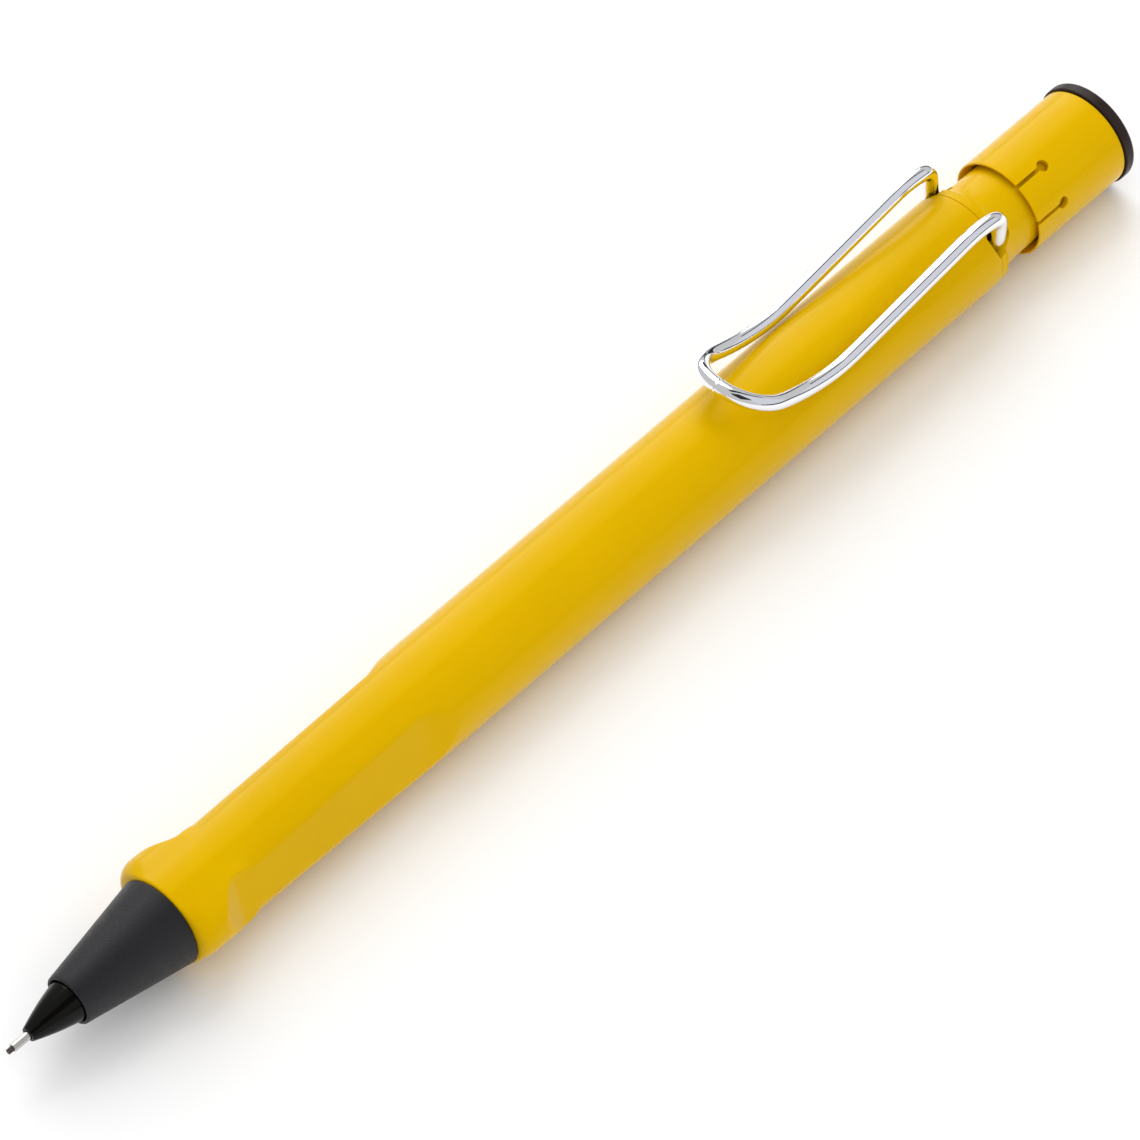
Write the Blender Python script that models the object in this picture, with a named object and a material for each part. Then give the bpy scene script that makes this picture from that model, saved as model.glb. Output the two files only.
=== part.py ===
"""Mechanical pencil with a wire clip, built as the separate pieces it comes apart into.

The pencil lies along X: the lead points to -X, the push button is at +X and the clip is on top.
Sizes and stations below are in millimetres. A station is a distance along the pencil's axis,
measured from the front end of the lead sleeve towards the button. Radii are measured from the axis.
Angles round the axis are measured from the top, positive towards +Y.
"""
import math

import bmesh
import bpy
from mathutils import Vector

MM = 0.001

# ---- sizes along the axis, front to back ----
SLEEVE_OUT = 1.85            # lead sleeve that shows in front of the nozzle
NOZZLE_OUT = 4.70            # nozzle that shows in front of the cone
CONE_LENGTH = 11.25          # cone that shows in front of the barrel
BARREL_LENGTH = 102.85
NECK_LENGTH = 2.35           # full-width part of the neck collar
NECK_FILLET_LENGTH = 1.60
BUTTON_SETBACK = 4.80        # from the barrel's rear edge to the button's skirt
BUTTON_LENGTH = 12.30
DISC_THICKNESS = 1.25
LEAD_OUT = 0.55              # lead that shows in front of its sleeve
LEAD_LENGTH = 60.0
BUTTON_STROKE = 1.30

# ---- clearances ----
SEAT_GAP = 0.05              # between faces that are clamped or pressed together
SLIDE_GAP = 0.10             # round a piece that slides or is pushed in
CLIP_GAP = 0.16              # between the clip's waist and the barrel

# ---- barrel ----
BARREL_RADIUS = 5.07
GRIP_TAPER = 0.53            # how much thinner the grip's round body is at its front edge
GRIP_LENGTH = 32.85
FLAT_ANGLE = 74.0            # where each finger flat and its lip are centred
FLAT_DEPTH = 0.89            # how far a finger flat lies below the barrel's radius
FLAT_RAMP = 4.60             # length of the flat's rear ramp
FLAT_FRONT_RISE = 3.50       # length of the flat's curved front end
FLAT_FRONT = 2.20            # from the barrel's front edge to where that curve has ended
LIP_HEIGHT = 0.76            # height of the lips above the barrel's radius
LIP_CREST = 1.70             # from the barrel's front edge to the crest of the lips
LIP_SPREAD = 55.0            # half the angle that a lip covers
BORE_ROOM = 0.45             # between the mechanism housing and the barrel's bore
BARREL_REAR_WALL = 1.17      # wall at the counterbore that holds the neck collar
INSERT_LENGTH = 11.65

# ---- neck collar, button and end disc ----
NECK_STEP = 0.09             # neck collar's radius below the barrel's
STEM_GAP = 0.12              # between the stem and the button that slides over it
STEM_END = 5.55              # stem that runs on inside the button's skirt
BUTTON_STEP = 0.10           # button's radius below the barrel's
BUTTON_WALL = 0.60
SKIRT_CHAMFER = 0.90
BUTTON_ROOF = 1.55
HUB_WALL = 0.90
HUB_LENGTH = 6.40
WEB_THICKNESS = 3.70
DISC_OVERHANG = 0.20
DISC_SPIGOT_RADIUS = 1.50
DISC_SPIGOT_LENGTH = 1.15

# ---- keyhole slots of the button ----
SLOT_WIDTH = 0.38
SLOT_HOLE_RADIUS = 0.58
SLOT_LENGTH = 3.80           # from the skirt's edge to the hole's centre
SLOT_FIRST_ANGLE = -25.0
TONGUE_ANGLE = 45.5          # angle between the two slots of a pair

# ---- clip ----
WIRE_RADIUS = 0.75
CLIP_LENGTH = 32.92          # from the legs' drop to the tip of the foot
CLIP_FOOT_LENGTH = 4.10
CLIP_FOOT_POWER = 2.10       # 2 is a half ellipse, more is squarer
CLIP_LEG_ANGLE = 55.2        # where the legs go into the neck collar
CLIP_WAIST = 11.50           # from the foot's tip to the clip's lowest place
CLIP_FOOT_RISE = 4.00
CLIP_LEG_SLOPE = 0.160
CLIP_SHOULDER = 5.00         # length over which the legs curve over towards the root
CLIP_SHOULDER_FALL = 1.30    # how far that curve takes them down
CLIP_BEND_RADIUS = 1.35
CLIP_DROP = 0.30             # from the barrel's rear edge to the legs' drop
CLIP_ROOT_DEPTH = 1.30       # how far below the entry the wire's ends lie
POCKET_ROOM = 0.40           # round the wire where it enters the collar
POCKET_SHIFT = 0.20          # how far the pocket's centre is behind the wire's

# ---- front end ----
LEAD_RADIUS = 0.25
SLEEVE_WALL = 0.12
SLEEVE_LENGTH = 5.0
NOZZLE_TIP_RADIUS = 0.69
NOZZLE_RADIUS = 2.05
NOZZLE_SHANK = 2.05          # nozzle's full-width part inside the cone
NOZZLE_SPIGOT_WALL = 0.42
NOZZLE_SPIGOT_LENGTH = 3.0
CONE_LIP = 0.40              # wall at the cone's mouth
CONE_BASE_STEP = 0.14        # cone's base radius below the barrel's front edge
CONE_SHOULDER = 6.45         # from the cone's mouth to the shoulder that holds the mechanism
CONE_THREAD_WALL = 0.75
CONE_THREAD_LENGTH = 6.20
RETAINER_LENGTH = 2.0

# ---- mechanism ----
HOUSING_RADIUS = 2.75
HOUSING_LENGTH = 35.3
TUBE_ROOM = 0.15             # between the lead tube and the housing
SHOULDER_THICKNESS = 0.80    # inner shoulder between clutch ring and spring
RING_LENGTH = 2.20
RING_ROOM = 3.55             # from the nozzle's spigot to the inner shoulder
COLLET_STEM_RADIUS = 0.85
COLLET_HEAD_RADIUS = 1.06
HEAD_ROOM = 0.14             # round the collet's head when it moves forward
COLLET_HEAD_LENGTH = 3.0
COLLET_LENGTH = 10.1
COLLET_SLIT = 0.22
COLLET_SLIT_LENGTH = 6.0
SPRING_ROOM = 8.05
SPRING_WIRE_RADIUS = 0.15
SPRING_RADIUS = 1.30
SPRING_TURNS = 8
TUBE_RADIUS = 1.90
TUBE_WALL = 0.40
FLANGE_RADIUS = 1.65
FLANGE_LENGTH = 0.95
CONNECTOR_FRONT = 2.55       # connector's sleeve over the collet stem
CONNECTOR_REAR = 6.0         # connector's plug inside the lead tube
TUBE_SETBACK = 4.75          # from the button's end face to the lead tube's rear end

# ---- eraser ----
ERASER_RADIUS = 1.15
ERASER_LENGTH = 7.10
FERRULE_LENGTH = 5.50
FERRULE_FLOOR = 0.80
NEEDLE_RADIUS = 0.20
NEEDLE_LENGTH = 10.4

# ---- places worked out from the sizes above ----
NOZZLE_FRONT = SLEEVE_OUT
CONE_FRONT = NOZZLE_FRONT + NOZZLE_OUT
BARREL_FRONT = CONE_FRONT + CONE_LENGTH
BARREL_REAR = BARREL_FRONT + BARREL_LENGTH
BUTTON_FRONT = BARREL_REAR + BUTTON_SETBACK
BUTTON_REAR = BUTTON_FRONT + BUTTON_LENGTH
DISC_REAR = BUTTON_REAR + DISC_THICKNESS
MIDDLE = (DISC_REAR - LEAD_OUT) / 2

NECK_RADIUS = BARREL_RADIUS - NECK_STEP
BUTTON_RADIUS = BARREL_RADIUS - BUTTON_STEP
DISC_RADIUS = BUTTON_RADIUS + DISC_OVERHANG
STEM_RADIUS = BUTTON_RADIUS - BUTTON_WALL - STEM_GAP
AXIS_HEIGHT = DISC_RADIUS
BARREL_FRONT_RADIUS = BARREL_RADIUS - GRIP_TAPER
COUNTERBORE = BARREL_RADIUS - BARREL_REAR_WALL
INSERT_RADIUS = COUNTERBORE - SLIDE_GAP

BARREL_BORE = HOUSING_RADIUS + BORE_ROOM
CONE_MOUTH_RADIUS = NOZZLE_RADIUS + SLIDE_GAP + CONE_LIP
CONE_THREAD_RADIUS = HOUSING_RADIUS + SLIDE_GAP + CONE_THREAD_WALL
NOZZLE_CAVITY = COLLET_HEAD_RADIUS + HEAD_ROOM
NOZZLE_SPIGOT_RADIUS = NOZZLE_CAVITY + NOZZLE_SPIGOT_WALL
RETAINER_RADIUS = NOZZLE_CAVITY - SLIDE_GAP
POCKET_RADIUS = WIRE_RADIUS + POCKET_ROOM

HOUSING_STEP = CONE_FRONT + CONE_SHOULDER + SLIDE_GAP
NOZZLE_STEP = CONE_FRONT + NOZZLE_SHANK
HOUSING_FRONT = NOZZLE_STEP + SLIDE_GAP
HOUSING_REAR = HOUSING_FRONT + HOUSING_LENGTH
SPIGOT_REAR = NOZZLE_STEP + NOZZLE_SPIGOT_LENGTH
SHOULDER_FRONT = SPIGOT_REAR + RING_ROOM
SHOULDER_REAR = SHOULDER_FRONT + SHOULDER_THICKNESS
FLANGE_FRONT = SHOULDER_REAR + SPRING_ROOM
FLANGE_REAR = FLANGE_FRONT + FLANGE_LENGTH
TUBE_FRONT = FLANGE_REAR + SLIDE_GAP
TUBE_REAR = BUTTON_REAR - TUBE_SETBACK
TUBE_BORE = TUBE_RADIUS - TUBE_WALL
FERRULE_RADIUS = TUBE_BORE - SLIDE_GAP
CONNECTOR_REAR_END = FLANGE_REAR + CONNECTOR_REAR
COLLET_REAR = FLANGE_FRONT - CONNECTOR_FRONT + 0.5
COLLET_FRONT = COLLET_REAR - COLLET_LENGTH
LEAD_CHANNEL = LEAD_RADIUS + SLIDE_GAP / 2


# ---- helpers ----
def plastic(name, colour, roughness, metallic=0.0):
    """A Principled material from a linear colour."""
    material = bpy.data.materials.new(name)
    material.use_nodes = True
    shader = material.node_tree.nodes["Principled BSDF"]
    shader.inputs["Base Color"].default_value = (*colour, 1.0)
    shader.inputs["Roughness"].default_value = roughness
    shader.inputs["Metallic"].default_value = metallic
    material.diffuse_color = (*colour, 1.0)
    return material


def axis_frame(name, station=0.0, height=0.0, parent=None):
    """An empty on the pencil's axis, or height above it, that pieces are parented to."""
    empty = bpy.data.objects.new(name, None)
    empty.empty_display_size = 0.005
    bpy.context.collection.objects.link(empty)
    if parent is None:
        empty.location = ((station - MIDDLE) * MM, 0, (AXIS_HEIGHT + height) * MM)
    else:
        empty.parent = parent
        empty.location = (station * MM, 0, height * MM)
    return empty


def finished(name, bm, material, parent, station=0.0, height=0.0):
    """Turn a bmesh, in millimetres about (station, 0, height), into a smooth-shaded object."""
    bmesh.ops.recalc_face_normals(bm, faces=bm.faces)
    bmesh.ops.scale(bm, vec=(MM, MM, MM), verts=bm.verts)
    mesh = bpy.data.meshes.new(name)
    bm.to_mesh(mesh)
    bm.free()
    mesh.shade_smooth()
    mesh.set_sharp_from_angle(angle=math.radians(35))
    if material is not None:
        mesh.materials.append(material)
    made = bpy.data.objects.new(name, mesh)
    bpy.context.collection.objects.link(made)
    made.parent = parent
    made.location = (station * MM, 0, height * MM)
    return made


def round_angles(sides):
    """Corner angles of a polygon that has a flat side at the bottom and at the top."""
    return [math.tau * (i + 0.5) / sides for i in range(sides)]


def ring(bm, x, radii, angles):
    return [bm.verts.new((x, r * math.sin(a), r * math.cos(a))) for r, a in zip(radii, angles)]


def join_rings(bm, first, second):
    count = len(first)
    for i in range(count):
        j = (i + 1) % count
        bm.faces.new((first[i], first[j], second[j], second[i]))


def turned(name, outside, bore, material, parent, sides=24, outer_flats=False):
    """A round piece from its outer and bore outlines, each a front-to-back list of (station, radius).

    Without a bore the piece is solid. Flat sides of a bore touch its true radius. Corners of the
    outside touch the true radius, or with outer_flats its flat sides do.
    """
    front = outside[0][0]
    angles = round_angles(sides)
    stretch = 1 / math.cos(math.pi / sides)
    outer_stretch = stretch if outer_flats else 1.0
    bm = bmesh.new()
    outer = [ring(bm, x - front, [r * outer_stretch] * sides, angles) for x, r in outside]
    inner = [ring(bm, x - front, [r * stretch] * sides, angles) for x, r in bore]
    loop = outer + inner[::-1]
    for first, second in zip(loop, loop[1:]):
        join_rings(bm, first, second)
    if inner:
        join_rings(bm, loop[-1], loop[0])
    else:
        bm.faces.new(outer[0])
        bm.faces.new(outer[-1])
    return finished(name, bm, material, parent, station=front)


def sweep(bm, path, radii, sides):
    """A closed tube round a path, its corner rings carried along without twist."""
    side = None
    rings = []
    for i, point in enumerate(path):
        ahead = path[min(i + 1, len(path) - 1)]
        behind = path[max(i - 1, 0)]
        along = (ahead - behind).normalized()
        if side is None:
            side = along.orthogonal()
        side = (side - along * side.dot(along)).normalized()
        up = along.cross(side)
        corners = []
        for angle in round_angles(sides):
            corners.append(bm.verts.new(point + radii[i] * (math.cos(angle) * side + math.sin(angle) * up)))
        rings.append(corners)
    for first, second in zip(rings, rings[1:]):
        join_rings(bm, first, second)
    bm.faces.new(rings[0])
    bm.faces.new(rings[-1])


def prism(bm, bottom, top):
    """A closed prism between two outlines that have the same number of corners."""
    low = [bm.verts.new(p) for p in bottom]
    high = [bm.verts.new(p) for p in top]
    join_rings(bm, low, high)
    bm.faces.new(low)
    bm.faces.new(high)


def cut(piece, cutter):
    """Take the cutter's shape out of a piece. The cutter itself is no part of the pencil."""
    cutter.hide_render = True
    cutter.display_type = "WIRE"
    modifier = piece.modifiers.new("cut_" + cutter.name, "BOOLEAN")
    modifier.operation = "DIFFERENCE"
    modifier.solver = "EXACT"
    modifier.object = cutter


def smoothstep(low, high, value):
    t = min(max((value - low) / (high - low), 0.0), 1.0)
    return t * t * (3 - 2 * t)


def arc_corner(before, corner, after, radius, steps):
    """Points of an arc that rounds a corner of a path."""
    back = (before - corner).normalized()
    ahead = (after - corner).normalized()
    half = back.angle(ahead) / 2
    reach = radius / math.tan(half)
    centre = corner + (back + ahead).normalized() * radius / math.sin(half)
    start = corner + back * reach - centre
    end = corner + ahead * reach - centre
    turn = start.angle(end)
    points = []
    for i in range(steps + 1):
        t = i / steps
        mix = (start * math.sin((1 - t) * turn) + end * math.sin(t * turn)) / math.sin(turn)
        points.append(centre + mix)
    return points


# ---- barrel ----
def grip_radius(station, angle):
    """Radius of the barrel's surface: a round body, two lips at its front, cut by two finger flats."""
    back = station - BARREL_FRONT
    taper = min(max(1 - back / GRIP_LENGTH, 0.0), 1.0)
    body = BARREL_RADIUS - GRIP_TAPER * taper
    off = abs(math.degrees(abs(math.remainder(angle, math.tau))) - FLAT_ANGLE)
    if off < LIP_SPREAD and back < FLAT_RAMP + FLAT_FRONT:
        front = min(max((LIP_CREST - back) / LIP_CREST, 0.0), 1.0)
        rise = math.sqrt(1 - front * front)
        spread = math.cos(math.pi / 2 * off / LIP_SPREAD) ** 2
        body += (BARREL_RADIUS + LIP_HEIGHT - body) * rise * spread
    front_end = 1 - smoothstep(FLAT_FRONT, FLAT_FRONT + FLAT_FRONT_RISE, back)
    rear_end = smoothstep(GRIP_LENGTH - FLAT_RAMP, GRIP_LENGTH, back)
    distance = BARREL_RADIUS - FLAT_DEPTH
    distance += (LIP_HEIGHT + FLAT_DEPTH) * front_end + FLAT_DEPTH * rear_end
    if off < 60:
        return min(body, distance / math.cos(math.radians(off)))
    return body


def build_barrel(parent, material):
    sides = 24
    angles = round_angles(sides)
    stretch = 1 / math.cos(math.pi / sides)
    grip = [0.0, 0.3, 0.9, LIP_CREST, 2.5, 3.3, 4.1, 4.9, FLAT_FRONT + FLAT_FRONT_RISE]
    ramp = [GRIP_LENGTH - FLAT_RAMP * (1 - i / 5) for i in range(6)]
    outside = [BARREL_FRONT + back for back in grip + ramp + [BARREL_LENGTH - 0.1]]
    thread_rear = BARREL_FRONT + CONE_THREAD_LENGTH + 2 * SLIDE_GAP
    counterbore_front = BARREL_REAR - INSERT_LENGTH - SLIDE_GAP
    thread_bore = CONE_THREAD_RADIUS + SLIDE_GAP
    bore = [(BARREL_FRONT, thread_bore), (thread_rear, thread_bore), (thread_rear + 0.4, BARREL_BORE),
            (counterbore_front - 0.4, BARREL_BORE), (counterbore_front, COUNTERBORE),
            (BARREL_REAR, COUNTERBORE)]
    bm = bmesh.new()
    loop = []
    for station in outside:
        radii = [grip_radius(station, angle) * stretch for angle in angles]
        loop.append(ring(bm, station - BARREL_FRONT, radii, angles))
    loop.append(ring(bm, BARREL_LENGTH, [(BARREL_RADIUS - 0.1) * stretch] * sides, angles))
    for station, radius in reversed(bore):
        loop.append(ring(bm, station - BARREL_FRONT, [radius * stretch] * sides, angles))
    for first, second in zip(loop, loop[1:]):
        join_rings(bm, first, second)
    join_rings(bm, loop[-1], loop[0])
    return finished("barrel", bm, material, parent, station=BARREL_FRONT)


# ---- clip ----
def clip_waist_height():
    """Height of the wire's centre line where the clip comes closest to the barrel."""
    half_width = NECK_RADIUS * math.sin(math.radians(CLIP_LEG_ANGLE))
    reach = BARREL_RADIUS + CLIP_GAP + WIRE_RADIUS
    return math.sqrt(reach * reach - half_width * half_width)


def clip_height(from_foot):
    """Height of the wire's centre line: up to the foot at the front, up to the root at the back."""
    past = from_foot - CLIP_WAIST
    if past < 0:
        return clip_waist_height() + CLIP_FOOT_RISE * (-past / CLIP_WAIST) ** 1.8
    softness = 1.5
    rise = CLIP_LEG_SLOPE * (math.hypot(past, softness) - softness)
    over = max(0.0, (from_foot - CLIP_LENGTH + CLIP_SHOULDER) / CLIP_SHOULDER)
    return clip_waist_height() + rise - CLIP_SHOULDER_FALL * over ** 2


def clip_half_path():
    """Centre line of one leg, from the foot's tip on the middle line to the end in the collar."""
    drop = BARREL_REAR + CLIP_DROP
    tip = drop - CLIP_LENGTH
    half_width = NECK_RADIUS * math.sin(math.radians(CLIP_LEG_ANGLE))
    entry_height = NECK_RADIUS * math.cos(math.radians(CLIP_LEG_ANGLE))
    path = []
    foot_steps = 8
    for i in range(foot_steps + 1):
        turn = math.pi / 2 * i / foot_steps
        from_foot = CLIP_FOOT_LENGTH * (1 - math.cos(turn) ** (2 / CLIP_FOOT_POWER))
        side = half_width * math.sin(turn) ** (2 / CLIP_FOOT_POWER)
        path.append(Vector((tip + from_foot, side, clip_height(from_foot))))
    leg_end = CLIP_LENGTH - 2 * CLIP_BEND_RADIUS
    shoulder = CLIP_LENGTH - CLIP_SHOULDER
    for from_foot in (6.0, 8.5, CLIP_WAIST, 13.5, 16.0, 20.0, 24.0, shoulder, 29.2, leg_end):
        path.append(Vector((tip + from_foot, half_width, clip_height(from_foot))))
    corner = Vector((drop, half_width, clip_height(CLIP_LENGTH)))
    turn_in = Vector((drop, half_width, entry_height))
    end = Vector((drop, half_width - 1.45, entry_height - CLIP_ROOT_DEPTH))
    path += arc_corner(path[-1], corner, turn_in, CLIP_BEND_RADIUS, 6)
    path += arc_corner(corner, turn_in, end, 1.6, 4)
    path.append(end)
    return path


def mirrored(path):
    return [Vector((p.x, -p.y, p.z)) for p in path]


def build_clip(parent, hinge_station, hinge_height, material):
    half = clip_half_path()
    whole = mirrored(half[1:])[::-1] + half
    origin = Vector((hinge_station, 0, hinge_height))
    stretch = 1 / math.cos(math.pi / 10)
    bm = bmesh.new()
    sweep(bm, [p - origin for p in whole], [WIRE_RADIUS * stretch] * len(whole), 10)
    return finished("clip_wire", bm, material, parent)


def build_pocket_cutter(parent):
    """Two openings round the clip's ends: a wide pocket at the surface and a close hole below it."""
    path = clip_half_path()
    end = path[-1]
    inwards = (end - path[-2]).normalized()
    shift = Vector((POCKET_SHIFT, 0, 0))
    start = path[-6] + shift
    route = [start + Vector((0, 0, 3)), start] + [p + shift for p in path[-5:-2]]
    radii = [POCKET_RADIUS] * len(route)
    route += [path[-2], end + inwards * SLIDE_GAP]
    radii += [WIRE_RADIUS + 2 * SLIDE_GAP, WIRE_RADIUS + 2 * SLIDE_GAP]
    bm = bmesh.new()
    for leg in (route, mirrored(route)):
        sweep(bm, leg, radii, 12)
    return finished("pocket_cutter", bm, None, parent)


# ---- neck collar, button and disc ----
def build_neck_collar(parent, material):
    seat = BARREL_REAR + SEAT_GAP
    fillet_front = BARREL_REAR + NECK_LENGTH
    stem_rear = BUTTON_FRONT + STEM_END
    drop = NECK_RADIUS - STEM_RADIUS
    fillet = []
    for i in range(1, 5):
        turn = math.pi / 2 * i / 4
        station = fillet_front + NECK_FILLET_LENGTH * (1 - math.cos(turn))
        fillet.append((station, NECK_RADIUS - drop * math.sin(turn)))
    outside = [(BARREL_REAR - INSERT_LENGTH, INSERT_RADIUS), (seat, INSERT_RADIUS),
               (seat, NECK_RADIUS - 0.05), (seat + 0.1, NECK_RADIUS), (fillet_front, NECK_RADIUS)]
    outside += fillet + [(stem_rear - 0.2, STEM_RADIUS), (stem_rear, STEM_RADIUS - 0.2)]
    tube_bore = TUBE_RADIUS + SLIDE_GAP
    hub_room = tube_bore + HUB_WALL + 1.5 * SLIDE_GAP
    hub_front = BUTTON_REAR - BUTTON_ROOF - HUB_LENGTH
    recess = hub_front - BUTTON_STROKE - 3 * SLIDE_GAP
    bore = [(BARREL_REAR - INSERT_LENGTH, tube_bore), (recess, tube_bore), (recess, hub_room),
            (stem_rear, hub_room)]
    return turned("neck_collar", outside, bore, material, parent, outer_flats=True)


def build_push_button(parent, material):
    skirt = BUTTON_RADIUS - BUTTON_WALL
    hub_bore = TUBE_RADIUS + SLIDE_GAP
    hub = hub_bore + HUB_WALL
    web = BUTTON_REAR - BUTTON_ROOF - WEB_THICKNESS
    hub_front = BUTTON_REAR - BUTTON_ROOF - HUB_LENGTH
    roof = BUTTON_REAR - BUTTON_ROOF
    spigot_bore = DISC_SPIGOT_RADIUS + SEAT_GAP
    lip = BUTTON_RADIUS - 0.17
    outside = [(BUTTON_FRONT, BUTTON_RADIUS - 0.05), (BUTTON_FRONT + 0.1, BUTTON_RADIUS),
               (BUTTON_REAR - 0.2, BUTTON_RADIUS), (BUTTON_REAR, BUTTON_RADIUS - 0.12)]
    bore = [(BUTTON_FRONT, lip), (BUTTON_FRONT + SKIRT_CHAMFER, skirt), (web, skirt), (web, hub),
            (hub_front, hub), (hub_front, hub_bore), (roof, hub_bore), (roof, spigot_bore),
            (BUTTON_REAR, spigot_bore)]
    return turned("push_button", outside, bore, material, parent, outer_flats=True)


def build_slot_cutter(parent):
    """Keyhole outlines pushed through the button's wall: a pair on one side, a pair opposite."""
    low = BUTTON_RADIUS - BUTTON_WALL - 0.4
    high = BUTTON_RADIUS + 0.6
    centre = BUTTON_FRONT + SLOT_LENGTH
    start = math.asin(SLOT_WIDTH / 2 / SLOT_HOLE_RADIUS)
    outline = [(BUTTON_FRONT - 1, SLOT_WIDTH / 2)]
    hole_steps = 14
    for i in range(hole_steps + 1):
        turn = math.pi - start - (math.tau - 2 * start) * i / hole_steps
        outline.append((centre + SLOT_HOLE_RADIUS * math.cos(turn), SLOT_HOLE_RADIUS * math.sin(turn)))
    outline.append((BUTTON_FRONT - 1, -SLOT_WIDTH / 2))
    bm = bmesh.new()
    for pair in (0, 180):
        for tongue in (0, TONGUE_ANGLE):
            angle = math.radians(SLOT_FIRST_ANGLE - tongue + pair)
            outward = Vector((0, math.sin(angle), math.cos(angle)))
            across = Vector((0, math.cos(angle), -math.sin(angle)))
            flat = [Vector((x, 0, 0)) + across * y for x, y in outline]
            prism(bm, [p + outward * low for p in flat], [p + outward * high for p in flat])
    return finished("slot_cutter", bm, None, parent)


def build_button_disc(parent, material):
    front = BUTTON_REAR + SEAT_GAP
    outside = [(BUTTON_REAR - DISC_SPIGOT_LENGTH, DISC_SPIGOT_RADIUS), (front, DISC_SPIGOT_RADIUS),
               (front, DISC_RADIUS), (DISC_REAR - 0.45, DISC_RADIUS), (DISC_REAR - 0.13, DISC_RADIUS - 0.13),
               (DISC_REAR, DISC_RADIUS - 0.45)]
    return turned("button_disc", outside, [], material, parent, outer_flats=True)


# ---- front end ----
def build_front_cone(parent, material):
    base = BARREL_FRONT_RADIUS - CONE_BASE_STEP
    shoulder = CONE_FRONT + CONE_SHOULDER
    thread_rear = BARREL_FRONT + CONE_THREAD_LENGTH
    thread_front = BARREL_FRONT - SEAT_GAP
    outside = [(CONE_FRONT, CONE_MOUTH_RADIUS - 0.2), (CONE_FRONT + 0.1, CONE_MOUTH_RADIUS - 0.05),
               (CONE_FRONT + 0.35, CONE_MOUTH_RADIUS), (thread_front - 0.1, base),
               (thread_front, base - 0.05), (thread_front, CONE_THREAD_RADIUS),
               (thread_rear, CONE_THREAD_RADIUS)]
    nozzle_bore = NOZZLE_RADIUS + SLIDE_GAP
    housing_bore = HOUSING_RADIUS + SLIDE_GAP
    bore = [(CONE_FRONT, nozzle_bore), (shoulder, nozzle_bore), (shoulder, housing_bore),
            (thread_rear, housing_bore)]
    return turned("front_cone", outside, bore, material, parent)


def build_nozzle(parent, material):
    full = CONE_FRONT - 0.05
    outside = []
    steps = 6
    for i in range(steps + 1):
        t = i / steps
        bulge = 0.10 * math.sin(math.pi * t)
        radius = NOZZLE_TIP_RADIUS + (NOZZLE_RADIUS - NOZZLE_TIP_RADIUS) * t + bulge
        outside.append((NOZZLE_FRONT + (full - NOZZLE_FRONT) * t, radius))
    outside += [(NOZZLE_STEP, NOZZLE_RADIUS), (NOZZLE_STEP, NOZZLE_SPIGOT_RADIUS),
                (SPIGOT_REAR, NOZZLE_SPIGOT_RADIUS)]
    sleeve_bore = LEAD_RADIUS + SLEEVE_WALL + SEAT_GAP + 0.03
    bore = [(NOZZLE_FRONT, sleeve_bore), (SLEEVE_LENGTH + SLIDE_GAP, sleeve_bore),
            (SLEEVE_LENGTH + SLIDE_GAP, NOZZLE_CAVITY), (SPIGOT_REAR, NOZZLE_CAVITY)]
    return turned("nozzle", outside, bore, material, parent, sides=16)


def build_front_end(tip, cone, lead, materials):
    build_front_cone(cone, materials["cone"])
    build_nozzle(tip, materials["nozzle"])
    sleeve_bore = LEAD_RADIUS + 0.03
    turned("lead_sleeve", [(0, sleeve_bore + SLEEVE_WALL), (SLEEVE_LENGTH, sleeve_bore + SLEEVE_WALL)],
           [(0, sleeve_bore), (SLEEVE_LENGTH, sleeve_bore)], materials["steel"], tip, sides=12)
    front = SLEEVE_LENGTH + 2 * SLIDE_GAP
    rear = front + RETAINER_LENGTH
    turned("lead_retainer", [(front, RETAINER_RADIUS), (rear, RETAINER_RADIUS)],
           [(front, LEAD_CHANNEL), (rear, LEAD_CHANNEL)], materials["rubber"], tip, sides=12)
    turned("lead", [(-LEAD_OUT, LEAD_RADIUS), (LEAD_LENGTH - LEAD_OUT, LEAD_RADIUS)], [],
           materials["graphite"], lead, sides=8)


# ---- mechanism ----
def build_housing(parent, material):
    outside = [(HOUSING_FRONT, NOZZLE_RADIUS), (HOUSING_STEP, NOZZLE_RADIUS),
               (HOUSING_STEP, HOUSING_RADIUS), (HOUSING_REAR, HOUSING_RADIUS)]
    spigot_bore = NOZZLE_SPIGOT_RADIUS + SLIDE_GAP
    shoulder_bore = COLLET_STEM_RADIUS + SLIDE_GAP
    tube_room = TUBE_RADIUS + TUBE_ROOM
    bore = [(HOUSING_FRONT, spigot_bore), (SHOULDER_FRONT, spigot_bore), (SHOULDER_FRONT, shoulder_bore),
            (SHOULDER_REAR, shoulder_bore), (SHOULDER_REAR, tube_room), (HOUSING_REAR, tube_room)]
    return turned("mechanism_housing", outside, bore, material, parent, sides=16)


def build_clutch_ring(parent, material):
    rear = SHOULDER_FRONT - SEAT_GAP
    front = rear - RING_LENGTH
    outer = NOZZLE_SPIGOT_RADIUS - SEAT_GAP
    outside = [(front, outer), (rear, outer)]
    bore = [(front, COLLET_HEAD_RADIUS + 0.06), (rear, COLLET_STEM_RADIUS + 0.12)]
    return turned("clutch_ring", outside, bore, material, parent, sides=12)


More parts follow.
